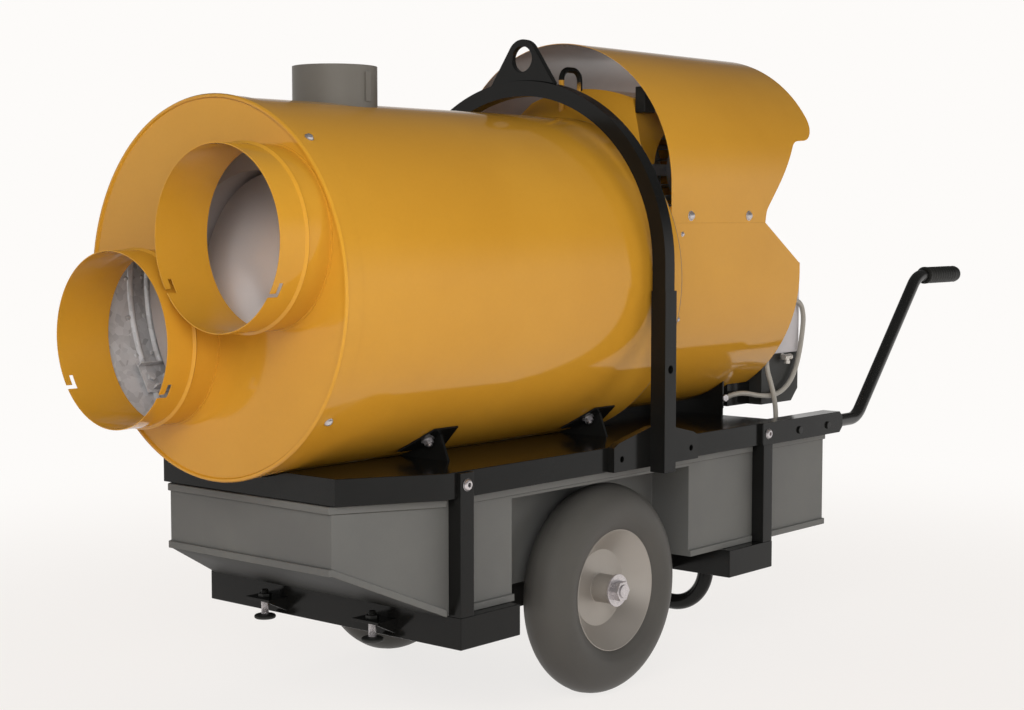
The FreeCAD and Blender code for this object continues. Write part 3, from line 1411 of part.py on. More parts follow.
def control_box():
    """The control box on the burner, its mains inlet and its selector knob."""
    front = burner_front + d.control_inset
    rear = front + d.control_length
    floor = base_top + d.burner_top_height
    half = d.control_half_width
    wall = d.control_wall
    top = floor + d.control_height
    case = box("control_case", (front, rear), (-half, half), (floor, top))
    room = box("control_room", (front + wall, rear - wall), (wall - half, half - wall),
               (floor + wall, top - wall))
    knob_at = (-d.knob_offset, top - d.knob_drop)
    low = top - d.knob_drop - d.inlet_size / 2
    near = d.inlet_gap
    far = near + d.inlet_size
    inlet = box("mains_inlet_block", (rear - wall, rear + d.inlet_depth), (near, far),
                (low, low + d.inlet_size))
    socket = box("mains_inlet_socket", (rear + wall, rear + d.inlet_depth + 1), (near + wall, far - wall),
                 (low + wall, low + d.inlet_size - wall))
    hole = rod("control_spindle_hole", "x", d.spindle_radius + d.running_gap, (rear - wall - 1, rear + 1),
               knob_at)
    cut("control_box", fuse("control_blank", cut("control_shell", case, room), inlet), socket, hole)
    start = rear + d.seat_gap
    skirt = rod("knob_skirt", "x", d.knob_radius, (start, start + d.knob_length / 2), knob_at)
    grip = box("knob_grip", (start + d.knob_length / 2, start + d.knob_length),
               (knob_at[0] - d.spindle_radius, knob_at[0] + d.spindle_radius),
               (knob_at[1] - d.knob_radius + 1, knob_at[1] + d.knob_radius - 1))
    spindle = rod("knob_spindle", "x", d.spindle_radius, (start - d.spindle_length, start), knob_at)
    fuse("selector_knob", skirt, grip, spindle)


def tangent_plate(name, outline, angle, drum, thickness, sign):
    """A flat plate lying against a drum: an outline of X and a distance up the drum's side."""
    radius, centre_z = drum
    points = [(x, as_size(up) * -sign) for x, up in outline]
    turn = angle.value
    cosine = math.cos(math.radians(turn))
    sine = math.sin(math.radians(turn))
    body = plate(name, "z", points, (as_size(0), thickness))
    return put(body, (0, radius * cosine, centre_z + radius * sine), Rotation(Vector(1, 0, 0), turn - 90))


def saddle(label, x, sections, drum, angle, tab_outline):
    """A cross plate hollowed for a drum, with a bolted tab up each side of the drum."""
    ends = (x - d.saddle_thickness / 2, x + d.saddle_thickness / 2)
    belly = rod(f"{label}_saddle_belly", "x", drum[0], (ends[0] - 1, ends[1] + 1), (0, drum[1]))
    web = cut(f"{label}_saddle_web", plate(f"{label}_saddle_plate", "x", sections, ends), belly)
    tabs = []
    for side, sign in SIDES:
        turn = 270 + angle * sign
        tabs.append(tangent_plate(f"{label}_{side}_tab", tab_outline, turn, drum, d.tab_wall, sign))
    fuse(f"{label}_saddle", web, *tabs)


def saddles():
    """Saddles that carry the barrel and the rear casing on the deck."""
    low = deck_top - d.saddle_drop
    high = deck_top + d.saddle_rise
    neck = d.saddle_neck
    foot = d.saddle_foot
    shoulder = d.saddle_shoulder
    section = ((-neck, low), (neck, low), (neck, deck_top), (foot, deck_top), (shoulder, high),
               (-shoulder, high), (-foot, deck_top), (-neck, deck_top))
    drum = (d.barrel_radius + d.seat_gap, axis_z)
    half = d.tab_length / 2
    wide = half + d.tab_flare
    reach = d.tab_width / 2
    for label, x in (("front", front_saddle_x), ("middle", middle_saddle_x)):
        tab = ((x - wide, -reach), (x + wide, -reach), (x + half, reach), (x - half, reach))
        saddle(label, x, section, drum, d.tab_angle, tab)
    x = deck_rear - d.saddle_thickness / 2
    foot = d.rear_saddle_foot
    high = deck_top + d.rear_saddle_rise
    section = ((-foot, deck_top), (foot, deck_top), (foot, high), (-foot, high))
    reach = d.rear_tab_width / 2
    rear = x + d.rear_tab_length
    tab = ((x, -reach), (rear, -reach), (rear, reach), (x, reach))
    saddle("rear", x, section, (d.case_half_width + d.seat_gap, case_z), d.rear_tab_angle, tab)


def arch_form(label, inset, overrun):
    """The arch's bar drawn in by an inset: half a ring on two straight legs."""
    half = d.arch_bar / 2 - inset
    ends = (arch_x - half, arch_x + half)
    inner = d.arch_inner + inset
    outer = arch_outer - inset
    longer = (ends[0] - 1, ends[1] + 1)
    ring = cut(f"{label}_ring", rod(f"{label}_outside", "x", outer, ends, (0, arch_z)),
               rod(f"{label}_inside", "x", inner, longer, (0, arch_z)),
               box(f"{label}_lower", longer, (-outer - 1, outer + 1), (arch_z - outer - 1, arch_z)))
    legs = [box(f"{label}_{side}_leg", ends, span(sign, inner, outer), (arch_foot_z - overrun, arch_z))
            for side, sign in SIDES]
    return fuse(label, ring, *legs)


def lifting_arch():
    """The square-tube arch over the barrel and its lifting eye."""
    hole_z = arch_foot_z + d.arch_hole_rise + d.deck_rim
    hole = rod("arch_hole", "y", d.arch_hole_radius, (-arch_outer - 1, arch_outer + 1), (arch_x, hole_z))
    cut("lifting_arch", arch_form("arch_bar_outside", as_size(0), 0),
        arch_form("arch_bar_inside", d.arch_wall, 1), hole)
    top = arch_z + arch_outer
    ends = (arch_x - d.eye_thickness / 2, arch_x + d.eye_thickness / 2)
    eye_z = top + d.eye_rise
    rise = d.eye_radius / 2
    cheek = half_chord(d.eye_radius, rise)
    section = ((-d.eye_half_width, top - d.eye_sink), (d.eye_half_width, top - d.eye_sink),
               (d.eye_half_width, top - d.eye_sink / 4), (cheek, eye_z + rise), (-cheek, eye_z + rise),
               (-d.eye_half_width, top - d.eye_sink / 4))
    lug = fuse("eye_blank", plate("eye_plate", "x", section, ends),
               rod("eye_round", "x", d.eye_radius, ends, (0, eye_z)))
    longer = (ends[0] - 1, ends[1] + 1)
    cut("lifting_eye", lug, rod("eye_hole", "x", d.eye_hole_radius, longer, (0, eye_z)),
        rod("eye_seat", "x", arch_outer, longer, (0, arch_z)))


def foot_outline(inset):
    """The side view of an arch's foot plate, drawn in by an inset."""
    half = d.arch_bar / 2
    front = arch_x - d.foot_plate_front + inset
    rear = arch_x + d.foot_plate_rear - inset
    low = rim_bottom + inset
    peak = deck_top + d.foot_plate_top - inset
    shoulder = deck_top + d.foot_plate_shoulder - inset
    corner = deck_top - inset / 2
    return ((front, low), (rear, low), (rear, corner), (rear - half, shoulder), (arch_x + half * 2, peak),
            (arch_x - half, peak), (front + half, shoulder), (front, corner))


def arch_foot(side, sign):
    """A folded foot plate on the deck's rim, with a channel round the arch's leg."""
    half = d.arch_bar / 2
    rim = d.deck_half_width
    wall = d.foot_plate_wall
    face = rim + d.foot_plate_depth
    sheet = plate(f"{side}_foot_plate", "y", foot_outline(as_size(0)), span(sign, rim, face))
    fold = plate(f"{side}_foot_fold", "y", foot_outline(wall), span(sign, rim - 1, face - wall))
    holes = [rod(f"{side}_plate_hole", "y", d.plate_hole_radius, span(sign, face - wall - 1, face + 1),
                 (x, rim_bottom + d.deck_rim / 2))
             for x in (arch_x - d.foot_plate_front + d.plate_hole_inset,
                       arch_x + d.foot_plate_rear - d.plate_hole_inset)]
    grow = d.arch_sleeve
    gap = d.seat_gap / 2
    sleeve_top = deck_top + d.arch_sleeve_rise
    sleeve = box(f"{side}_foot_sleeve", (arch_x - half - grow, arch_x + half + grow),
                 span(sign, face, arch_outer + grow), (arch_foot_z, sleeve_top))
    leg = box(f"{side}_foot_leg_room", (arch_x - half - gap, arch_x + half + gap),
              span(sign, face - 1, arch_outer + gap), (arch_foot_z - 1, sleeve_top + 1))
    bore = rod(f"{side}_foot_hole_bore", "y", d.arch_hole_radius,
               span(sign, arch_outer - 1, arch_outer + grow * 2),
               (arch_x, arch_foot_z + d.arch_hole_rise + d.deck_rim))
    channel = cut(f"{side}_foot_channel", sleeve, leg, bore)
    return fuse(f"{side}_arch_foot", cut(f"{side}_foot_sheet", sheet, fold, *holes), channel)


def casing_screws():
    """Domed screws round the lid's edge and bolts along the casing's seam."""
    heads = []
    skirt = d.barrel_radius + d.seat_gap + d.barrel_wall
    x = d.barrel_front + d.lid_screw_inset
    for index in range(LID_SCREW_COUNT):
        angle = d.lid_screw_angle + 360 / LID_SCREW_COUNT * index
        heads.append(spoke("lid_screw", (x - d.screw_radius, x + d.screw_radius), (0, axis_z), angle,
                           (skirt, skirt + d.screw_height), d.screw_radius * 2))
    half = d.case_half_width
    for side, sign in SIDES:
        for step in range(2):
            place = (hood_front + d.case_bolt_front + d.case_bolt_pitch * step, seam_z + d.case_bolt_rise)
            ends = span(sign, half, half + d.case_bolt_height)
            heads.append(rod(f"{side}_case_bolt", "y", d.case_bolt_radius, ends, place))
            place = (case_front + d.case_screw_inset, seam_z - d.case_screw_drop - d.case_screw_pitch * step)
            drop = case_z - place[1] - d.screw_radius
            reach = half_chord(half, drop) if drop.value > 0 else half
            ends = span(sign, reach, reach + d.screw_height)
            heads.append(rod(f"{side}_case_screw", "y", d.screw_radius, ends, place))
    fuse("casing_screws", *heads)


def frame_bolts():
    """Washered bolts on the straps and bolts on the saddles' tabs."""
    heads = []
    height = d.frame_bolt_height
    middle = rim_bottom + d.deck_rim / 2
    radius = d.frame_bolt_radius
    tab = d.barrel_radius + d.seat_gap + d.tab_wall
    stud = d.tab_bolt_radius
    for side, sign in SIDES:
        ends = span(sign, side_face, side_face + height)
        for stretch in (front_strap, rear_strap):
            place = ((stretch[0] + stretch[1]) / 2, middle)
            heads.append(rod(f"{side}_strap_bolt", "y", radius, ends, place))
        angle = 270 + d.tab_angle * sign
        for saddle_x in (front_saddle_x, middle_saddle_x):
            x = saddle_x - d.tab_bolt_lead
            heads.append(spoke(f"{side}_tab_bolt", (x - stud, x + stud), (0, axis_z), angle,
                               (tab, tab + height), stud * 2))
    fuse("frame_bolts", *heads)


def build():
    """Makes every sub-part of the heater."""
    axle_set()
    beam("front_beam", front_beam)
    beam("rear_beam", rear_beam)
    chassis_rails()
    rear_stand()
    fuel_tank()
    deck()
    barrel()
    chimney()
    fire_parts()
    burner()
    fuel_lines()
    lower_shell()
    rear_hood()
    air_duct()
    blower()
    control_box()
    saddles()
    lifting_arch()
    for label, sign in OUTLETS:
        outlet(label, sign)
    tank_straps()
    for side, sign in SIDES:
        tyre(side, sign)
        rim(side, sign)
        side_rail(side, sign)
        handle(side, sign)
    fuse("foot_brackets", *[levelling_foot(side, sign) for side, sign in SIDES])
    fuse("arch_feet", *[arch_foot(side, sign) for side, sign in SIDES])
    handle_bolts()
    casing_screws()
    frame_bolts()


PARTS = (
    "axle", "wheel_bearings", "axle_nuts", "left_tyre", "left_rim", "right_tyre", "right_rim",
    "front_beam", "rear_beam", "chassis_rails", "tank_straps", "rear_stand", "foot_brackets",
    "left_levelling_foot", "right_levelling_foot", "fuel_tank", "fuel_cap", "deck", "left_rail", "right_rail",
    "left_handle", "right_handle", "left_grip", "right_grip", "handle_bolts",
    "barrel_shell", "front_lid", "upper_outlet", "lower_outlet", "rear_plate", "chimney_stub",
    "combustion_chamber", "heat_exchanger", "exchanger_bands", "exchanger_brackets",
    "burner_tunnel", "burner_housing", "burner_base", "fuel_pump", "supply_hose", "return_hose",
    "hose_fittings", "lower_shell", "rear_hood", "air_duct", "blower_housing", "blower_wheel",
    "blower_motor", "blower_shelf", "junction_box", "control_box", "selector_knob",
    "front_saddle", "middle_saddle", "rear_saddle", "lifting_arch", "lifting_eye", "arch_feet",
    "casing_screws", "frame_bolts",
)


def check_and_write():
    """Stops at any failed object or bad shape, and otherwise writes every sub-part."""
    doc.recompute()
    for obj in doc.Objects:
        if "Invalid" in obj.State or "Error" in obj.State:
            raise RuntimeError(f"{obj.Label} failed: {obj.State}")
    parts = {obj.Label: obj for obj in doc.Objects if obj.Label in PARTS}
    for name in PARTS:
        shape = parts[name].Shape
        if shape.isNull() or not shape.isValid() or not shape.Solids:
            raise RuntimeError(f"{name} has no sound shape")
    for name in PARTS:
        parts[name].Shape.exportStep(f"parts/{name}.step")


build()
check_and_write()
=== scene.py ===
"""The looks of an indirect-fired diesel heater on two wheels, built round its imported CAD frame.

Sizes are in millimetres and are turned to metres where a mesh is made. The studio's are in metres, apart
from those whose names end in mm. X runs along the barrel with the warm-air outlets at -X, the operator
stands behind the handles at +X, and left is -Y.
"""

import logging
import math
from dataclasses import dataclass
from enum import Enum
from typing import Callable, ClassVar, Optional, Sequence

import bmesh
import bpy
from mathutils import Matrix, Vector


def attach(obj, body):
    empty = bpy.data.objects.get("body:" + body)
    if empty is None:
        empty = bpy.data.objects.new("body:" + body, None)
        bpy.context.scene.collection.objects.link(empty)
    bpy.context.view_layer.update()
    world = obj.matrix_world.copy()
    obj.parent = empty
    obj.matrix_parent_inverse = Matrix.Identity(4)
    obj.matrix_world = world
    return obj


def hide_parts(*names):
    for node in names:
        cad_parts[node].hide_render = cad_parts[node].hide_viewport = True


MM = 0.001
# Nearer points are joined, folds under the flat angle vanish and folds over the sharp one are rounded.
MERGE_MM = 0.01
FLAT_DEG = 0.3
SHARP_DEG = 30.0
# The height of the line that the barrel and the lower shell are turned on.
AXIS_Z = 784.0
HEXAGON = 6

Pair = tuple[float, float]
Triple = tuple[float, float, float]
Outline = tuple[Pair, ...]

ALONG: Triple = (1.0, 0.0, 0.0)
ACROSS: Triple = (0.0, 1.0, 0.0)
UP: Triple = (0.0, 0.0, 1.0)

logging.basicConfig(level=logging.INFO, format="%(name)s: %(message)s")
LOG = logging.getLogger("heater")

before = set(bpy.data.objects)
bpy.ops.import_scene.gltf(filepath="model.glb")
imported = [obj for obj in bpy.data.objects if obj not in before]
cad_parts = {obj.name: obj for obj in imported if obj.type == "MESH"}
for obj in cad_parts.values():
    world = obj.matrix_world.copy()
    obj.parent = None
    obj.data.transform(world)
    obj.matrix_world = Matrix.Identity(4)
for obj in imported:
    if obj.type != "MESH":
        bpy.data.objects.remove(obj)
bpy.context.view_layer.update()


class Body(Enum):
    """The moving bodies of the frame."""

    HEATER = "heater"
    LEFT_WHEEL = "left_wheel"
    RIGHT_WHEEL = "right_wheel"
    ROTOR = "blower_rotor"
    LEFT_FOOT = "left_foot"
    RIGHT_FOOT = "right_foot"
    CAP = "filler_cap"
    SELECTOR = "selector"


class Side(Enum):
    """The two sides of the heater, with the sign of their Y."""

    LEFT = -1
    RIGHT = 1

    @property
    def label(self) -> str:
        """The side's word in node names."""
        return self.name.lower()

    @property
    def sign(self) -> int:
        """The sign of the side's Y."""
        return self.value


class Pattern(Enum):
    """How a surface was made, which sets its fine pattern."""

    PEEL = "sprayed paint"
    GRAIN = "moulded grain"
    BRUSHED = "brushed along the sheet"
    SPANGLE = "zinc spangle"
    TURNED = "turned rings"
    CAST = "cast skin"


def to_linear(code: str) -> tuple[float, float, float, float]:
    """Turn an sRGB hex colour into linear RGBA.

    Args:
        code: The colour as #RRGGBB.

    Returns:
        Linear red, green, blue and a full alpha.
    """
    parts = [int(code[start:start + 2], 16) / 255 for start in (1, 3, 5)]
    linear = [part / 12.92 if part <= 0.04045 else ((part + 0.055) / 1.055) ** 2.4 for part in parts]
    return linear[0], linear[1], linear[2], 1.0


def add_node(tree: bpy.types.NodeTree, kind: str, settings: Optional[dict] = None,
             inputs: Optional[dict] = None) -> bpy.types.Node:
    """Add one node with its settings, and set or link its inputs.

    Args:
        tree: The node tree.
        kind: The node's type name.
        settings: Properties of the node.
        inputs: Values or output sockets, by the input's name or number.

    Returns:
        The new node.
    """
    node = tree.nodes.new(kind)
    for key, value in (settings or {}).items():
        setattr(node, key, value)
    for key, value in (inputs or {}).items():
        if isinstance(value, bpy.types.NodeSocket):
            tree.links.new(value, node.inputs[key])
        else:
            node.inputs[key].default_value = value
    return node


def bare_tree(owner: bpy.types.ID) -> bpy.types.NodeTree:
    """Give a material's or world's node tree, emptied.

    Args:
        owner: The material or world.

    Returns:
        Its tree.
    """
    owner.use_nodes = True
    owner.node_tree.nodes.clear()
    return owner.node_tree


@dataclass(frozen=True)
class Finish:
    """One real material: its colours, gloss and the pattern its making left.

    Grain too fine to show in the render, as on mouldings, castings and brushed sheet, is drawn coarser.
    """

    name: str
    slot: str
    colour: str
    shade: str
    roughness: float
    pattern: Pattern
    grain_mm: float
    depth_mm: float
    metallic: float = 0.0
    mottle_mm: float = 260.0
    spread: float = 0.05
    specular: float = 0.5
    axis: str = "X"
    centre_mm: Triple = (0.0, 0.0, 0.0)

    LEAST_ROUGHNESS: ClassVar[float] = 0.03
    TINT_SHARE: ClassVar[float] = 0.35
    BUMP_SHARE: ClassVar[float] = 0.6
    # the brushed lines' scale along the sheet, as a share of that across it
    BRUSH_SHARE: ClassVar[float] = 0.03
    # the rings that a wave texture draws for each unit of its scale
    RINGS_PER_UNIT: ClassVar[float] = 3.2

    def material(self) -> bpy.types.Material:
        """Give the finish's material, made on its first use."""
        found = bpy.data.materials.get(self.name)
        return found if found else self._build()

    def _build(self) -> bpy.types.Material:
        """Make the node material: mottled colour, varied gloss and a fine bump.

        Returns:
            The material.
        """
        made = bpy.data.materials.new(self.name)
        tree = bare_tree(made)
        place = add_node(tree, "ShaderNodeTexCoord").outputs["Object"]
        mottle = add_node(tree, "ShaderNodeTexNoise", None, {
            "Vector": place, "Scale": 1 / (self.mottle_mm * MM), "Detail": 4.0, "Roughness": 0.55})
        share = add_node(tree, "ShaderNodeMapRange", {"interpolation_type": "SMOOTHSTEP"}, {
            "Value": mottle.outputs["Fac"], "From Min": 0.35, "From Max": 0.68})
        colour = add_node(tree, "ShaderNodeMix", {"data_type": "RGBA"}, {
            "Factor": share.outputs["Result"], "A": to_linear(self.colour), "B": to_linear(self.shade)})
        height, tint = self._pattern(tree, place)
        tinted = add_node(tree, "ShaderNodeMix", {"data_type": "RGBA", "blend_type": "MULTIPLY"}, {
            "Factor": self.TINT_SHARE, "A": colour.outputs["Result"], "B": tint})
        gloss = add_node(tree, "ShaderNodeMapRange", None, {
            "Value": mottle.outputs["Fac"], "From Min": 0.3, "From Max": 0.7,
            "To Min": max(self.LEAST_ROUGHNESS, self.roughness - self.spread),
            "To Max": self.roughness + self.spread})
        bump = add_node(tree, "ShaderNodeBump", None, {
            "Strength": self.BUMP_SHARE, "Distance": self.depth_mm * MM, "Height": height})
        shader = add_node(tree, "ShaderNodeBsdfPrincipled", None, {
            "Base Color": tinted.outputs["Result"], "Roughness": gloss.outputs["Result"],
            "Metallic": self.metallic, "Specular IOR Level": self.specular,
            "Normal": bump.outputs["Normal"]})
        add_node(tree, "ShaderNodeOutputMaterial", None, {"Surface": shader.outputs["BSDF"]})
        return made

    def _pattern(self, tree: bpy.types.NodeTree,
                 place: bpy.types.NodeSocket) -> tuple[bpy.types.NodeSocket, bpy.types.NodeSocket]:
        """Add the nodes of the fine pattern.

        Args:
            tree: The material's tree.
            place: Object coordinates in metres.

        Returns:
            The height of the pattern, and a tint to multiply the colour by.
        """
        scale = 1 / (self.grain_mm * MM)
        if self.pattern is Pattern.BRUSHED:
            stretch = tuple(self.BRUSH_SHARE if letter == self.axis else 1.0 for letter in "XYZ")
            lines = add_node(tree, "ShaderNodeMapping", None, {"Vector": place, "Scale": stretch})
            grain = add_node(tree, "ShaderNodeTexNoise", None, {
                "Vector": lines.outputs["Vector"], "Scale": scale, "Detail": 3.0})
            height = grain.outputs["Fac"]
        elif self.pattern is Pattern.SPANGLE:
            grain = add_node(tree, "ShaderNodeTexVoronoi", None, {"Vector": place, "Scale": scale})
            height = grain.outputs["Distance"]
            bright = add_node(tree, "ShaderNodeHueSaturation", None, {
                "Saturation": 0.0, "Value": 1.6, "Color": grain.outputs["Color"]})
            return height, bright.outputs["Color"]
        elif self.pattern is Pattern.TURNED:
            middle = tuple(-number * MM for number in self.centre_mm)
            centred = add_node(tree, "ShaderNodeMapping", None, {"Vector": place, "Location": middle})
            grain = add_node(tree, "ShaderNodeTexWave",
                             {"wave_type": "RINGS", "rings_direction": self.axis, "wave_profile": "SIN"},
                             {"Vector": centred.outputs["Vector"], "Scale": scale / self.RINGS_PER_UNIT,
                              "Distortion": 0.6})
            height = grain.outputs["Fac"]
        elif self.pattern is Pattern.GRAIN:
            grain = add_node(tree, "ShaderNodeTexVoronoi", {"feature": "SMOOTH_F1"}, {
                "Vector": place, "Scale": scale})
            height = grain.outputs["Distance"]
        else:
            detail = 2.0 if self.pattern is Pattern.PEEL else 6.0
            grain = add_node(tree, "ShaderNodeTexNoise", None, {
                "Vector": place, "Scale": scale, "Detail": detail})
            height = grain.outputs["Fac"]
        pale = add_node(tree, "ShaderNodeMapRange", None, {
            "Value": height, "From Min": 0.2, "From Max": 0.8, "To Min": 0.92, "To Max": 1.0})
        return height, pale.outputs["Result"]


# Stoved enamel on sheet steel: deep golden yellow, wet gloss with a faint orange peel.
YELLOW = Finish("golden_yellow_stoving_enamel", "yellow_paint", "#CE9630", "#C8902C",
                roughness=0.1, pattern=Pattern.PEEL, grain_mm=7.0, depth_mm=0.012, spread=0.02,
                mottle_mm=420.0, specular=0.3)
# Inside of the hood: taupe grey painted as the shade inside the hood, with a satin shine that picks up the
# paint below it.
SHADED_LINING = Finish("painted_shade_hood_inside", "yellow_paint", "#86766E", "#8D7D75",
                roughness=0.24, pattern=Pattern.PEEL, grain_mm=6.0, depth_mm=0.015, specular=0.4)
# Powder coat on folded steel: black, glossy enough to mirror the barrel in the deck.
BLACK = Finish("black_powder_coat", "black_paint", "#141413", "#191918",
               roughness=0.16, pattern=Pattern.PEEL, grain_mm=4.0, depth_mm=0.015, specular=0.18)
# Stove enamel on bent tube: black and wet-looking, so the room draws pale lines along it.
ENAMEL = Finish("black_stove_enamel", "black_paint", "#161615", "#1A1A19",
                roughness=0.22, pattern=Pattern.PEEL, grain_mm=5.0, depth_mm=0.01, specular=0.6)
# Rotomoulded polyethylene: mid grey with a soft sheen and a fine mould grain.
TANK = Finish("grey_moulded_polyethylene", "tank_grey", "#5E5E5C", "#666663",
              roughness=0.42, pattern=Pattern.GRAIN, grain_mm=3.0, depth_mm=0.03, specular=0.3)
# The tank's underside: the same moulding, painted dark as the shade under the tank.
SHADED_UNDERSIDE = Finish("painted_shade_polyethylene", "tank_grey", "#222221", "#2A2A28",
                   roughness=0.6, pattern=Pattern.GRAIN, grain_mm=3.0, depth_mm=0.03, specular=0.2)
# Tyre rubber: dark warm grey, dull, with a faint bloom.
TYRE = Finish("moulded_tyre_rubber", "tyre_rubber", "#484643", "#4F4D49",
              roughness=0.48, pattern=Pattern.CAST, grain_mm=6.0, depth_mm=0.04, specular=0.3)
# Grey lacquer on spun steel: pale satin with turning rings that catch the light.
RIM = Finish("silver_lacquered_spun_steel", "rim_metal", "#9C968F", "#A49E97",
             roughness=0.34, pattern=Pattern.TURNED, grain_mm=2.5, depth_mm=0.02, metallic=0.45, axis="Y",
             centre_mm=(-276.0, 0.0, 200.0))
# Zinc plate on screws and studs: bright, slightly warm metal.
ZINC = Finish("bright_zinc_plate", "zinc_steel", "#CDC8C9", "#C1BCBE",
              roughness=0.28, pattern=Pattern.CAST, grain_mm=1.5, depth_mm=0.02, metallic=0.8,
              mottle_mm=8.0)
# Aluminised flue pipe: matt grey sheet with faint rolling lines along it.
FLUE = Finish("aluminised_flue_steel", "flue_steel", "#67645E", "#6F6C66",
              roughness=0.5, pattern=Pattern.BRUSHED, grain_mm=1.2, depth_mm=0.02, metallic=0.2, axis="Z")
# Rolled stainless sheet of the fire parts: pale grey, satin, drawn along the barrel.
STAINLESS = Finish("rolled_stainless_sheet", "flue_steel", "#C6BFBD", "#CFC8C6",
                   roughness=0.36, pattern=Pattern.BRUSHED, grain_mm=1.5, depth_mm=0.02, metallic=0.3)
# Galvanised sheet: light grey with zinc spangle.
GALVANISED = Finish("galvanised_sheet", "galvanised", "#C6C6C8", "#CFD0D2",
                    roughness=0.3, pattern=Pattern.SPANGLE, grain_mm=11.0, depth_mm=0.006, metallic=0.4)
# Moulded soft grip: black, dull, with a leather grain.
GRIP = Finish("black_moulded_grip", "grip_rubber", "#1B1B1A", "#222220",
              roughness=0.5, pattern=Pattern.GRAIN, grain_mm=1.8, depth_mm=0.1, specular=0.18)
# Light grey enamel on the burner's steel cover: clean and satin.
BURNER_GREY = Finish("light_grey_burner_enamel", "burner_grey", "#C6C2C4", "#CDC9CA",
                     roughness=0.32, pattern=Pattern.PEEL, grain_mm=4.0, depth_mm=0.02)
# Black satin paint on the burner's base and boxes: a little paler than the frame's powder coat.
BURNER_BLACK = Finish("black_satin_paint", "burner_black", "#292927", "#2F2F2D",
                      roughness=0.38, pattern=Pattern.PEEL, grain_mm=3.0, depth_mm=0.03, specular=0.3)
# Sand-cast aluminium: grey, matt, with a pebbled casting skin.
ALLOY = Finish("sand_cast_aluminium", "pump_alloy", "#8E8E8F", "#989899",
               roughness=0.5, pattern=Pattern.CAST, grain_mm=2.0, depth_mm=0.15, metallic=0.7)
# Fuel hose: smooth grey plasticised tube with a soft shine.
HOSE = Finish("grey_fuel_hose", "hose_rubber", "#A19C93", "#A8A39A",
              roughness=0.35, pattern=Pattern.PEEL, grain_mm=3.0, depth_mm=0.02)
# Nickel-plated hose fittings: pale, smooth metal.
NICKEL = Finish("nickel_plated_brass", "fitting_brass", "#CFC9C2", "#D6D1CA",
                roughness=0.25, pattern=Pattern.CAST, grain_mm=2.0, depth_mm=0.02, metallic=0.6)
# Moulded plastic of the cap and knob: black with a fine grain.
CAP = Finish("black_moulded_plastic", "cap_black", "#1A1A1A", "#20201F",
             roughness=0.42, pattern=Pattern.GRAIN, grain_mm=1.2, depth_mm=0.06)
# Amber acrylic of the pilot lamp's lens: clear gloss with a warm body.
AMBER = Finish("amber_acrylic_lens", "cap_black", "#C06A12", "#CC7818",
               roughness=0.08, pattern=Pattern.PEEL, grain_mm=2.0, depth_mm=0.005)
# White marking ink on the controls: flat and a little chalky.
INK = Finish("white_marking_ink", "cap_black", "#DEDCD6", "#E4E2DD",
             roughness=0.55, pattern=Pattern.CAST, grain_mm=0.8, depth_mm=0.01)
# Foot pad rubber, in the feet's own slot: black and dull.
PAD = Finish("black_foot_rubber", "zinc_steel", "#1D1D1B", "#232321",
             roughness=0.6, pattern=Pattern.CAST, grain_mm=2.0, depth_mm=0.05)
# Black oxide on bolts and nuts: dark and satin.
OXIDE = Finish("black_oxide_steel", "black_paint", "#131312", "#1A1A18",
               roughness=0.38, pattern=Pattern.CAST, grain_mm=1.5, depth_mm=0.02, metallic=0.4)

Lined = tuple[Finish, Callable[[bmesh.types.BMFace], bool]]


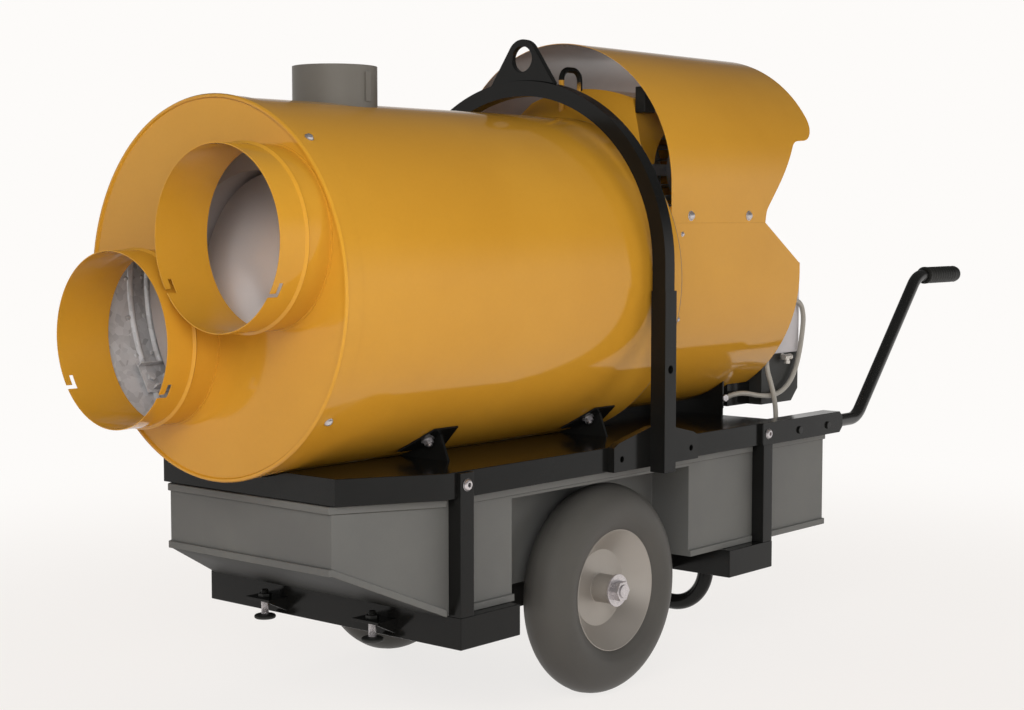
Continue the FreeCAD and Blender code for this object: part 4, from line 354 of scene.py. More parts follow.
class Form:
    """A mesh on the bench, shaped by bmesh operators and then set down as a piece."""

    def __init__(self) -> None:
        """Start an empty mesh."""
        self.bm = bmesh.new()

    @classmethod
    def of_node(cls, node: str) -> "Form":
        """Copy a CAD node's mesh, merged and with its flat faces made whole.

        Args:
            node: The CAD node's name.

        Returns:
            The copy on the bench.
        """
        form = cls()
        form.bm.from_mesh(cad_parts[node].data)
        form.merge()
        bmesh.ops.dissolve_limit(form.bm, angle_limit=math.radians(FLAT_DEG), use_dissolve_boundaries=False,
                                 verts=form.bm.verts[:], edges=form.bm.edges[:])
        return form

    def merge(self) -> None:
        """Join the points that lie on each other."""
        bmesh.ops.remove_doubles(self.bm, verts=self.bm.verts[:], dist=MERGE_MM * MM)

    def face_out(self) -> None:
        """Turn every face outwards."""
        bmesh.ops.recalc_face_normals(self.bm, faces=self.bm.faces[:])

    def block(self, low: Triple, high: Triple) -> None:
        """Add a block between two corners.

        Args:
            low: Its lowest corner.
            high: Its highest corner.
        """
        lowest, highest = Vector(low) * MM, Vector(high) * MM
        size = highest - lowest
        spot = Matrix.Translation((lowest + highest) / 2) @ Matrix.Diagonal((*size, 1.0))
        bmesh.ops.create_cube(self.bm, size=1.0, matrix=spot)

    def turn(self, outline: Sequence[Pair], direction: Triple, centre: Triple, steps: int,
             closed: bool = False) -> None:
        """Spin an outline once round a line.

        Args:
            outline: Places along the line and radii.
            direction: The line's direction.
            centre: The line's zero place.
            steps: Steps of the full turn.
            closed: Whether the outline's last point joins its first.
        """
        line = Vector(direction).normalized()
        out = line.orthogonal().normalized()
        origin = Vector(centre) * MM
        points = [self.bm.verts.new(origin + (line * place + out * radius) * MM) for place, radius in outline]
        pairs = list(zip(points, points[1:])) + ([(points[-1], points[0])] if closed else [])
        edges = [self.bm.edges.new(pair) for pair in pairs]
        bmesh.ops.spin(self.bm, geom=points + edges, cent=origin, axis=line, dvec=(0.0, 0.0, 0.0),
                       angle=math.tau, steps=steps, use_merge=True)
        self.merge()
        self.face_out()

    def prism(self, outline: Sequence[Triple], reach: Triple) -> None:
        """Extrude a flat outline.

        Args:
            outline: Its corners.
            reach: The way and distance it is pulled.
        """
        face = self.bm.faces.new([self.bm.verts.new(Vector(point) * MM) for point in outline])
        made = bmesh.ops.extrude_face_region(self.bm, geom=[face])["geom"]
        points = [item for item in made if isinstance(item, bmesh.types.BMVert)]
        bmesh.ops.translate(self.bm, verts=points, vec=Vector(reach) * MM)
        self.face_out()

    def peg(self, spot: Triple, out: Triple, radius: float, height: float, sides: int = 24) -> None:
        """Add a round peg, or a hexagon head with six sides.

        Args:
            spot: The middle of its seat.
            out: The way it points.
            radius: Its radius, to the corners.
            height: Its height.
            sides: Its sides.
        """
        way = Vector(out).normalized()
        middle = Matrix.Translation((Vector(spot) + way * height / 2) * MM)
        upright = way.to_track_quat("Z", "Y").to_matrix().to_4x4()
        bmesh.ops.create_cone(self.bm, cap_ends=True, segments=sides, radius1=radius * MM,
                              radius2=radius * MM, depth=height * MM, matrix=middle @ upright)

    def swing(self, degrees: float, centre: Triple) -> None:
        """Turn the whole mesh about a line along X.

        Args:
            degrees: How far.
            centre: A point of the line.
        """
        bmesh.ops.rotate(self.bm, verts=self.bm.verts[:], cent=Vector(centre) * MM,
                         matrix=Matrix.Rotation(math.radians(degrees), 3, "X"))

    def soften(self, width_mm: float, segments: int = 2) -> None:
        """Round the sharp edges.

        Args:
            width_mm: How far from the edge the round starts.
            segments: Faces across the round.
        """
        least = math.radians(SHARP_DEG)
        edges = [edge for edge in self.bm.edges
                 if len(edge.link_faces) == 2 and edge.calc_face_angle() > least]
        bmesh.ops.bevel(self.bm, geom=edges, offset=width_mm * MM, offset_type="OFFSET", segments=segments,
                        profile=0.5, affect="EDGES", clamp_overlap=True, material=-1)

    def place(self, name: str, finish: Finish, body: Body = Body.HEATER, replaces: Sequence[str] = (),
              sharp_deg: float = 32.0, lined: Optional[Lined] = None) -> None:
        """Set the mesh down as a piece of the heater.

        Args:
            name: The piece's name.
            finish: Its material.
            body: The body that it rides on.
            replaces: The CAD nodes that it stands for.
            sharp_deg: The fold from which an edge is shaded sharp.
            lined: A second finish, and the test for the faces that get it.
        """
        sharp = math.radians(sharp_deg)
        for face in self.bm.faces:
            face.smooth = True
            face.material_index = 1 if lined and lined[1](face) else 0
        for edge in self.bm.edges:
            edge.smooth = len(edge.link_faces) == 2 and edge.calc_face_angle() < sharp
        mesh = bpy.data.meshes.new(name)
        self.bm.to_mesh(mesh)
        self.bm.free()
        normals = mesh.attributes.get("custom_normal")
        if normals:
            mesh.attributes.remove(normals)
        for coat in [finish] + ([lined[0]] if lined else []):
            mesh.materials.append(coat.material())
        piece = bpy.data.objects.new(name, mesh)
        bpy.context.scene.collection.objects.link(piece)
        even = piece.modifiers.new("even_shading", "WEIGHTED_NORMAL")
        even.mode = "FACE_AREA"
        even.keep_sharp = True
        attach(piece, body.value)
        if replaces:
            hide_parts(*replaces)
        LOG.info("%s: %d faces on %s", name, len(mesh.polygons), body.value)


def dress(node: str, finish: Finish, round_mm: float = 0.0, segments: int = 2,
          body: Body = Body.HEATER, lined: Optional[Lined] = None) -> None:
    """Stand a softened copy of a CAD node in its place.

    Args:
        node: The CAD node.
        finish: The copy's material.
        round_mm: The round of its sharp edges, or none.
        segments: Faces across each round.
        body: The body that it rides on.
        lined: A second finish, and the test for the faces that get it.
    """
    form = Form.of_node(node)
    if round_mm:
        form.soften(round_mm, segments)
    form.place(f"{node}_skin", finish, body, [node], lined=lined)


def on_drum(x: float, radius: float, degrees: float) -> tuple[Triple, Triple]:
    """Find a spot on a drum round the barrel's axis.

    Args:
        x: The spot's place along the axis.
        radius: The drum's radius.
        degrees: The spot's angle, from the right side upwards.

    Returns:
        The spot, and the way straight out from the axis there.
    """
    angle = math.radians(degrees)
    out = (0.0, math.cos(angle), math.sin(angle))
    return (x, out[1] * radius, AXIS_Z + out[2] * radius), out


def belly(radius: float, half: float, steps: int) -> list[Pair]:
    """Follow the underside of a drum round the barrel's axis.

    Args:
        radius: The drum's radius.
        half: How far the line reaches to each side.
        steps: Steps on each side.

    Returns:
        Places across the drum, and the heights of its underside there.
    """
    across = [half * (place / steps - 1) for place in range(2 * steps + 1)]
    return [(y, AXIS_Z - math.sqrt(radius ** 2 - y * y)) for y in across]


@dataclass
class Wheels:
    """The two wheels on their axle."""

    axle: Pair = (-276.0, 200.0)
    offset: float = 270.0
    steps: int = 144
    radius: float = 200.0
    section: float = 50.0
    # how far the tyre's round goes each way from its tread, and where its toes sit on the rim
    round_deg: int = 142
    round_step: int = 6
    toes: Pair = (27.0, 31.5)
    toe_rise: float = 1.5
    # the moulding line on the tread and the ring pressed into the sidewall
    seam_deg: float = 3.0
    seam_proud: float = 0.5
    ring_deg: Pair = (117.0, 123.0)
    ring_sunk: float = 0.8
    # the hollow's share of the section, and the points at each end of the outline that it keeps clear of
    hollow: float = 0.8
    solid_ends: int = 4
    tyre_sharp_deg: float = 40.0
    bead: float = 112.0
    rim_half: float = 37.0
    lip: float = 3.6
    lip_round: float = 2.0
    seat_gap: float = 0.3
    sheet: float = 3.0
    # where the dished cone starts, in from the lip and in front of the sheet, and where its back does
    cone_face: Pair = (4.0, 1.5)
    cone_back: float = 10.0
    rim_edge: float = 1.6
    hub: float = 27.05
    hub_half: float = 38.0
    hub_wall: float = 5.0
    disc: float = 73.0
    disc_face: float = -2.0

    def build(self) -> None:
        """Make both wheels, the axle and its nuts."""
        for side, body in ((Side.LEFT, Body.LEFT_WHEEL), (Side.RIGHT, Body.RIGHT_WHEEL)):
            centre = (self.axle[0], self.offset * side.sign, self.axle[1])
            self._tyre(side, body, centre)
            self._rim(side, body, centre)
        dress("axle", ZINC, round_mm=1.0)
        dress("wheel_bearings", ZINC, round_mm=0.8)
        dress("axle_nuts", ZINC, round_mm=1.4)

    def _tyre(self, side: Side, body: Body, centre: Triple) -> None:
        """Spin a round-shouldered tyre with a moulding line and a bead ring.

        Args:
            side: Which wheel.
            body: Its body.
            centre: The wheel's middle.
        """
        middle = self.radius - self.section
        outline = []
        for degrees in range(-self.round_deg, self.round_deg + 1, self.round_step):
            proud = self.seam_proud if abs(degrees) < self.seam_deg else 0.0
            sunk = self.ring_sunk if self.ring_deg[0] < abs(degrees) < self.ring_deg[1] else 0.0
            reach = self.section + proud - sunk
            angle = math.radians(degrees)
            outline.append((reach * math.sin(angle), middle + reach * math.cos(angle)))
        toe = self.bead + self.toe_rise
        inner, outer = self.toes
        outline = [(-inner, toe), (-outer, toe)] + outline + [(outer, toe), (inner, toe)]
        outline += [(place * self.hollow, middle + (radius - middle) * self.hollow)
                    for place, radius in reversed(outline[self.solid_ends:-self.solid_ends])]
        form = Form()
        form.turn(outline, ACROSS, centre, self.steps, closed=True)
        form.place(f"{side.label}_tyre_rubber", TYRE, body, [f"{side.label}_tyre"], self.tyre_sharp_deg)

    def _rim(self, side: Side, body: Body, centre: Triple) -> None:
        """Spin the dished rim: rolled lips, a deep cone, a flat disc and a long hub.

        Args:
            side: Which wheel.
            body: Its body.
            centre: The wheel's middle.
        """
        half, lip = self.rim_half, self.bead + self.lip
        groove = half - self.lip
        wall = self.bead - self.seat_gap
        inside = wall - self.sheet
        face, back = self.disc_face, self.disc_face - self.sheet
        bore = self.hub - self.hub_wall
        outline = [
            (half, lip), (groove, lip), (groove, wall), (-groove, wall), (-groove, lip), (-half, lip),
            (-half, inside), (half - self.cone_back, inside), (back, self.disc), (back, self.hub),
            (-self.hub_half, self.hub), (-self.hub_half, bore), (self.hub_half, bore),
            (self.hub_half, self.hub), (face, self.hub), (face, self.disc),
            (half - self.cone_face[0], inside + self.cone_face[1]), (half, lip - self.lip_round),
        ]
        form = Form()
        form.turn(outline, (0, side.sign, 0), centre, self.steps, closed=True)
        form.soften(self.rim_edge, segments=3)
        form.place(f"{side.label}_rim_steel", RIM, body, [f"{side.label}_rim"])


@dataclass
class Chassis:
    """Beams, rails, straps, the bent stand and the levelling feet."""

    foot: Pair = (-759.0, 140.0)
    edge: float = 0.8
    # the pad's foot, then heights over it and radii
    pad_low: float = 164.0
    pad: Outline = ((0.0, 0.0), (0.0, 18.0), (2.0, 20.0), (5.0, 20.0), (7.0, 18.0), (8.5, 11.0), (8.5, 0.0))
    pad_steps: int = 48
    stud_rise: float = 8.0
    stud_radius: float = 7.0
    stud_top: float = 218.0
    stud_chamfer: float = 1.0
    stud_steps: int = 32
    thread_pitch: float = 2.0
    thread_depth: float = 0.35
    # the top of the bracket's shelf, and the radius and height of the nut on it
    shelf_top: float = 204.0
    nut: Pair = (12.5, 7.0)

    def build(self) -> None:
        """Make the frame under the tank."""
        for node, width in (("front_beam", 2.0), ("rear_beam", 2.0), ("chassis_rails", 1.2),
                            ("tank_straps", 1.2), ("foot_brackets", 0.8), ("rear_stand", 0.0)):
            dress(node, BLACK, width)
        for side, body in ((Side.LEFT, Body.LEFT_FOOT), (Side.RIGHT, Body.RIGHT_FOOT)):
            self._foot(side, body)

    def _foot(self, side: Side, body: Body) -> None:
        """Make a rubber pad on a threaded stud, and the nut on its bracket.

        Args:
            side: Which foot.
            body: Its body.
        """
        x, y = self.foot[0], self.foot[1] * side.sign
        pad, stud, nut = Form(), Form(), Form()
        outline = [(self.pad_low + rise, radius) for rise, radius in self.pad]
        pad.turn(outline, UP, (x, y, 0.0), self.pad_steps)
        pad.soften(self.edge)
        pad.place(f"{side.label}_foot_pad", PAD, body, [f"{side.label}_levelling_foot"])
        stud.turn(self._thread(), UP, (x, y, 0.0), self.stud_steps)
        # the stud over the shelf is painted dark as its shade in the bracket
        stud.place(f"{side.label}_foot_stud", ZINC, body, lined=(OXIDE, self._is_shaded_over_shelf))
        nut.peg((x, y, self.shelf_top), UP, *self.nut, HEXAGON)
        nut.soften(self.edge)
        nut.place(f"{side.label}_foot_lock_nut", OXIDE)

    def _thread(self) -> list[Pair]:
        """Draw the stud's outline with its thread.

        Returns:
            Heights and radii.
        """
        root = self.stud_radius - self.thread_depth
        height = self.pad_low + self.stud_rise
        outline = [(height, 0.0), (height, root)]
        while height < self.stud_top - self.thread_pitch:
            outline += [(height + self.thread_pitch / 2, self.stud_radius),
                        (height + self.thread_pitch, root)]
            height += self.thread_pitch
        return outline + [(self.stud_top, root - self.stud_chamfer), (self.stud_top, 0.0)]

    def _is_shaded_over_shelf(self, face: bmesh.types.BMFace) -> bool:
        """Whether a face of a stud is over its bracket's shelf, where the stud is painted dark as its shade
        in the bracket.
        """
        return face.calc_center_median().z > self.shelf_top * MM


@dataclass
class Tank:
    """The moulded fuel tank and its filler cap."""

    edge: float = 4.0
    under_slope: float = 0.6
    rear: float = 491.0
    rib_ends: Pair = (256.0, 402.0)
    rib_places: Pair = (-98.0, 98.0)
    rib_half: float = 11.0
    rib_sunk: float = 3.0
    rib_proud: float = 4.0
    rib_edge: float = 3.2
    # the drain's place, then its boss as places behind its seat and radii
    drain: Pair = (0.0, 262.0)
    boss: Outline = ((0.0, 0.0), (0.0, 17.0), (4.0, 17.0), (5.5, 15.5), (5.5, 0.0))
    boss_sunk: float = 1.0
    boss_steps: int = 40
    # the drain plug's seat, radius and height
    plug_seat: float = 4.0
    plug: Pair = (11.0, 9.0)
    plug_edge: float = 0.7

    def build(self) -> None:
        """Make the tank and its cap."""
        # the downward faces are painted dark grey as the shade under the tank
        dress("fuel_tank", TANK, self.edge, segments=3, lined=(SHADED_UNDERSIDE, self._is_shaded_underside))
        dress("fuel_cap", CAP, round_mm=1.5, segments=3, body=Body.CAP)
        self._rear_ribs()
        self._drain_plug()

    def _is_shaded_underside(self, face: bmesh.types.BMFace) -> bool:
        """Whether a face of the tank looks down, where the shade under the tank is painted."""
        return face.normal.z < -self.under_slope

    def _rear_ribs(self) -> None:
        """Mould two upright ribs on the tank's rear."""
        form = Form()
        for middle in self.rib_places:
            form.block((self.rear - self.rib_sunk, middle - self.rib_half, self.rib_ends[0]),
                       (self.rear + self.rib_proud, middle + self.rib_half, self.rib_ends[1]))
        form.soften(self.rib_edge, segments=4)
        form.place("fuel_tank_ribs", TANK)

    def _drain_plug(self) -> None:
        """Make the drain's boss and its hexagon plug."""
        form = Form()
        form.turn(self.boss, ALONG, (self.rear - self.boss_sunk, *self.drain), self.boss_steps)
        form.peg((self.rear + self.plug_seat, *self.drain), ALONG, *self.plug, HEXAGON)
        form.soften(self.plug_edge)
        form.place("fuel_tank_drain_plug", CAP)


@dataclass
class Deck:
    """The folded deck, the side rails and the push handles."""

    deck_front: float = -924.0
    deck_low: float = 430.0
    deck_top: float = 476.0
    front_half: float = 221.5
    # the plate on the deck's front, cut to the barrel's curve, and the lips of the slot behind it
    plate: float = 3.3
    plate_proud: float = 0.8
    cradle_radius: float = 324.0
    cradle_steps: int = 8
    cradle_edge: float = 0.8
    slot_half: float = 112.0
    slot_end: float = -29.0
    lip_width: float = 10.5
    lip_depth: float = 8.0
    # the plates that close the rails' front ends
    rail_front: float = 203.0
    rail_sides: Pair = (284.0, 324.0)
    closer_proud: float = 2.0
    closer_sunk: float = 1.0
    closer_inset: float = 2.0
    # the grips: where a handle ends across and up, the grip's ends, radius and wall
    handle: Pair = (298.0, 764.0)
    grip_ends: Pair = (940.0, 1100.0)
    grip_radius: float = 19.65
    grip_wall: float = 5.5
    grip_cap: float = 5.8
    grip_steps: int = 48
    grip_sharp_deg: float = 50.0
    # places behind the grip's front, and rises over its radius, of the collar and of one ring
    collar: Outline = ((0.0, -1.0), (1.5, 0.6), (7.0, 0.6), (9.0, -0.8))
    ring: Outline = ((0.0, -0.3), (5.0, 0.0), (10.0, -0.3), (11.0, -0.9))
    ring_start: float = 14.0
    ring_pitch: float = 12.0
    ring_stop: float = 30.0
    # places before the grip's end, and rises over its radius
    dome: Outline = ((14.0, 0.0), (7.0, -1.6), (2.4, -6.0), (0.4, -12.0))

    def build(self) -> None:
        """Make the deck, rails, handles, grips and their bolts."""
        dress("deck", BLACK, round_mm=2.0, segments=3)
        self._cradle()
        for side in Side:
            dress(f"{side.label}_rail", BLACK, round_mm=1.2)
            dress(f"{side.label}_handle", ENAMEL)
            self._grip(side)
        dress("handle_bolts", OXIDE, round_mm=1.2)

    def _cradle(self) -> None:
        """Skin the deck's front with a plate curved to the barrel, line its slot and close the rails."""
        form = Form()
        low, top = self.deck_low, self.deck_top
        front = self.deck_front - self.plate_proud
        under = [(y, min(top, z)) for y, z in belly(self.cradle_radius, self.slot_half, self.cradle_steps)]
        edge = [(-self.front_half, low), (-self.front_half, top)] + under
        edge += [(self.front_half, top), (self.front_half, low)]
        form.prism([(front, y, z) for y, z in edge], (self.plate, 0, 0))
        for side in Side:
            near, far = sorted((side.sign * (self.slot_half - self.lip_width), side.sign * self.slot_half))
            form.block((front + self.plate, near, top - self.lip_depth), (self.slot_end, far, top))
            near, far = sorted(side.sign * reach for reach in self.rail_sides)
            form.block((self.rail_front - self.closer_proud, near, low + self.closer_inset),
                       (self.rail_front + self.closer_sunk, far, top - self.closer_inset))
        form.soften(self.cradle_edge)
        form.place("deck_cradle", BLACK)

    def _grip(self, side: Side) -> None:
        """Spin a moulded grip with a collar, shallow rings and a domed end.

        Args:
            side: Which handle.
        """
        front, end = self.grip_ends
        radius, bore = self.grip_radius, self.grip_radius - self.grip_wall
        outline = [(front, bore)] + [(front + along, radius + rise) for along, rise in self.collar]
        place = front + self.ring_start
        while place < end - self.ring_stop:
            outline += [(place + along, radius + rise) for along, rise in self.ring]
            place += self.ring_pitch
        outline += [(end - along, radius + rise) for along, rise in self.dome]
        outline += [(end, 0.0), (end - self.grip_cap, 0.0), (end - self.grip_cap, bore)]
        centre = (0.0, self.handle[0] * side.sign, self.handle[1])
        form = Form()
        form.turn(outline, ALONG, centre, self.grip_steps, closed=True)
        form.place(f"{side.label}_grip_moulding", GRIP, Body.HEATER, [f"{side.label}_grip"],
                   self.grip_sharp_deg)


@dataclass
class Barrel:
    """The yellow barrel, its lid and spigots, the flue stub and the fire parts inside."""

    radius: float = 322.0
    wall: float = 1.5
    steps: int = 192
    # the heat shield inside the barrel: its ends, its sheet and the places of its ribs
    liner_ends: Pair = (-986.0, -300.0)
    liner: float = 2.5
    rib_places: Pair = (-918.0, -880.0)
    # places along one rib, and how far it stands in
    rib: Outline = ((-7.0, 0.0), (-5.0, 1.5), (-2.5, 5.0), (0.0, 6.0), (2.5, 5.0), (5.0, 1.5), (7.0, 0.0))
    # places and first angles of the rings of rivets, then one rivet as heights and radii
    rivet_rings: tuple[Pair, ...] = ((-928.0, -11.3), (-892.0, 2.0))
    rivet_count: int = 28
    rivet: Outline = ((0.0, 0.0), (0.0, 4.5), (1.6, 4.0), (2.8, 2.4), (3.2, 0.0))
    rivet_steps: int = 12
    # the clip's angle and seat, then the low and high corners of its folds from there
    clip_deg: float = -33.0
    clip_rise: float = 5.5
    clip_sheet: float = 3.0
    clip_folds: tuple[tuple[Triple, Triple], ...] = (
        ((-938.0, -3.0, -30.0), (-862.0, 0.0, 30.0)),
        ((-938.0, -16.0, 24.0), (-862.0, 0.0, 27.0)),
        ((-925.0, -20.0, -24.0), (-880.0, -3.0, -20.0)))
    clip_edge: float = 1.2
    clip_screws: Pair = (-920.0, -885.0)
    clip_head: Pair = (8.0, 5.0)

    def build(self) -> None:
        """Make the barrel and what it holds."""
        for node, width in (("barrel_shell", 0.4), ("front_lid", 0.5), ("upper_outlet", 0.6),
                            ("lower_outlet", 0.6)):
            dress(node, YELLOW, width)
        dress("rear_plate", FLUE, round_mm=0.4)
        self._liner()
        dress("chimney_stub", FLUE, round_mm=0.5)
        for node in ("combustion_chamber", "heat_exchanger", "exchanger_bands", "exchanger_brackets",
                     "burner_tunnel"):
            dress(node, STAINLESS, round_mm=0.6)

    def _liner(self) -> None:
        """Spin the bright heat shield inside the barrel's front, with its pressed ribs, rivets and a clip."""
        inside = self.radius - self.wall
        skin = inside - self.liner
        front, end = self.liner_ends
        outline = [(end, inside), (front, inside), (front, skin)]
        for place in self.rib_places:
            outline += [(place + along, skin - depth) for along, depth in self.rib]
        outline.append((end, skin))
        form = Form()
        form.turn(outline, ALONG, (0, 0, AXIS_Z), self.steps, closed=True)
        for place, start in self.rivet_rings:
            for count in range(self.rivet_count):
                spot, out = on_drum(place, skin, start - 360 / self.rivet_count * count)
                form.turn(self.rivet, (0, -out[1], -out[2]), spot, self.rivet_steps)
        form.place("barrel_heat_shield", GALVANISED)
        self._clip(skin)

    def _clip(self, skin: float) -> None:
        """Set the folded clip that closes the heat shield, with two screws.

        Args:
            skin: The radius of the shield's inner face.
        """
        form = Form()
        seat = skin - self.clip_rise
        for low, high in self.clip_folds:
            form.block((low[0], seat + low[1], AXIS_Z + low[2]), (high[0], seat + high[1], AXIS_Z + high[2]))
        form.soften(self.clip_edge)
        for x in self.clip_screws:
            form.peg((x, seat - self.clip_sheet, AXIS_Z), (0, -1, 0), *self.clip_head, HEXAGON)
        form.swing(self.clip_deg, (0, 0, AXIS_Z))
        form.place("heat_shield_clip", GALVANISED)


@dataclass
class Hose:
    """A fuel hose on one smooth curve that its route's points lead."""

    node: str
    length: float
    points: tuple[Triple, ...]
    diameter: float = 11.0

    def build(self) -> None:
        curve = bpy.data.curves.new(f"{self.node}_line", "CURVE")
        curve.dimensions = "3D"
        curve.bevel_depth = self.diameter / 2 * MM
        curve.bevel_resolution = 6
        curve.use_fill_caps = True
        curve.resolution_u = 12
        spline = curve.splines.new("NURBS")
        spline.points.add(len(self.points) - 1)
        for spot, point in zip(spline.points, self.points):
            spot.co = (*(Vector(point) * MM), 1.0)
        spline.order_u = 3
        spline.use_endpoint_u = True
        curve.materials.append(HOSE.material())
        piece = bpy.data.objects.new(f"{self.node}_tube", curve)
        bpy.context.scene.collection.objects.link(piece)
        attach(piece, Body.HEATER.value)
        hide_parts(self.node)
        LOG.info("%s: %.1f mm of hose", piece.name, self.length)


SUPPLY_ROUTE = ((430, -212, 442), (430, -212, 472), (422, -212.5, 504), (412, -210, 538), (403, -203, 572),
                (403, -203, 600))
RETURN_ROUTE = ((300, -130, 442), (300, -130, 468), (302, -142, 496), (312, -166, 516), (335, -188, 522),
                (380, -199.5, 512), (440, -199.5, 508), (490, -199.5, 522), (525, -199.5, 553),
                (546, -199.5, 600), (558, -199.5, 650), (561, -199.5, 679), (552, -199.5, 705),
                (531, -199.5, 717), (508, -199.5, 717))


@dataclass
class Burner:
    """The burner behind the casing, its pump, hoses and fittings."""

    front: float = 404.5
    rear: float = 568.0
    half_width: float = 190.0
    # the lid's low and high edges, how far its lip stands out and how much its corners are cut
    lid: Pair = (774.0, 801.5)
    lid_lip: float = 1.5
    lid_corner: float = 12.0
    lid_edge: float = 2.0
    # the louvres, and one of them as places behind the cover's rear and heights
    louvres: int = 6
    louvre_low: float = 650.0
    louvre_pitch: float = 13.0
    louvre_half: float = 62.0
    louvre: Outline = ((-1.0, 0.0), (-1.0, 5.0), (2.4, 1.5), (2.4, 0.0))
    louvre_slope: float = 0.8
    # the cover's screws: in from its sides, the lower pair's height, the upper pair under the lid, and a head
    screw_inset: float = 24.0
    screw_low: float = 616.0
    screw_drop: float = 14.0
    screw: Pair = (6.0, 4.0)
    # the T fitting's stem, run and leg, each as places along it and radii
    bleed: Triple = (486.0, -190.0, 592.0)
    stem_reach: float = 14.0
    stem: Outline = ((0.0, 0.0), (0.0, 7.5), (3.0, 7.5), (3.0, 5.4), (14.5, 5.4), (14.5, 0.0))
    run: Outline = ((-15.0, 0.0), (-15.0, 6.6), (-9.0, 6.6), (-9.0, 5.4), (9.0, 5.4), (9.0, 6.6), (15.0, 6.6),
                    (15.0, 0.0))
    leg: Outline = ((0.0, 0.0), (0.0, 5.4), (8.0, 5.4), (8.0, 6.6), (15.0, 6.6), (15.0, 0.0))
    tee_steps: int = 24
    fine_edge: float = 0.5

    def build(self) -> None:
        """Make the burner and lay its hoses."""
        dress("burner_housing", BURNER_GREY, round_mm=7.0, segments=4)
        dress("burner_base", BURNER_BLACK, round_mm=2.0, segments=3)
        dress("fuel_pump", ALLOY, round_mm=2.0, segments=3)
        dress("hose_fittings", NICKEL, round_mm=1.2)
        Hose("supply_hose", 162.0, SUPPLY_ROUTE).build()
        Hose("return_hose", 527.9, RETURN_ROUTE).build()
        self._bleed_tee()
        self._lid()
        self._louvres()
        self._screws()

    def _bleed_tee(self) -> None:
        """Make the small bright T fitting on the base's side."""
        x, y, z = self.bleed
        form = Form()
        form.turn(self.stem, (0, -1, 0), self.bleed, self.tee_steps)
        for outline, way in ((self.run, ALONG), (self.leg, (0, 0, -1))):
            form.turn(outline, way, (x, y - self.stem_reach, z), self.tee_steps)
        form.soften(self.fine_edge)
        form.place("bleed_tee", NICKEL)

    def _lid(self) -> None:
        """Close the housing with a lipped lid."""
        low, top = self.lid
        half = self.half_width + self.lid_lip
        rear, corner = self.rear + self.lid_lip, self.rear - self.lid_corner
        side = half - self.lid_corner
        form = Form()
        form.prism([(self.front, -half, low), (corner, -half, low), (rear, -side, low), (rear, side, low),
                    (corner, half, low), (self.front, half, low)], (0, 0, top - low))
        form.soften(self.lid_edge, segments=3)
        form.place("burner_housing_lid", BURNER_GREY)

    def _is_shaded_louvre_slot(self, face: bmesh.types.BMFace) -> bool:
        """Whether a face of the louvres looks down, where the shade in their slots is painted dark."""
        return face.normal.z < -self.louvre_slope

    def _louvres(self) -> None:
        """Press louvres into the cover's rear."""
        form = Form()
        for row in range(self.louvres):
            z = self.louvre_low + row * self.louvre_pitch
            form.prism([(self.rear + out, -self.louvre_half, z + rise) for out, rise in self.louvre],
                       (0, self.louvre_half * 2, 0))
        form.soften(self.fine_edge)
        # the louvres' downward faces are painted dark as the shade in their slots
        form.place("burner_housing_louvres", BURNER_GREY, lined=(OXIDE, self._is_shaded_louvre_slot))

    def _screws(self) -> None:
        """Screw down the corners of the cover's rear."""
        form = Form()
        inset = self.half_width - self.screw_inset
        for y in (-inset, inset):
            for z in (self.screw_low, self.lid[0] - self.screw_drop):
                Fasteners.dome(form, (self.rear, y, z), ALONG, *self.screw)
        form.place("burner_housing_screws", ZINC)


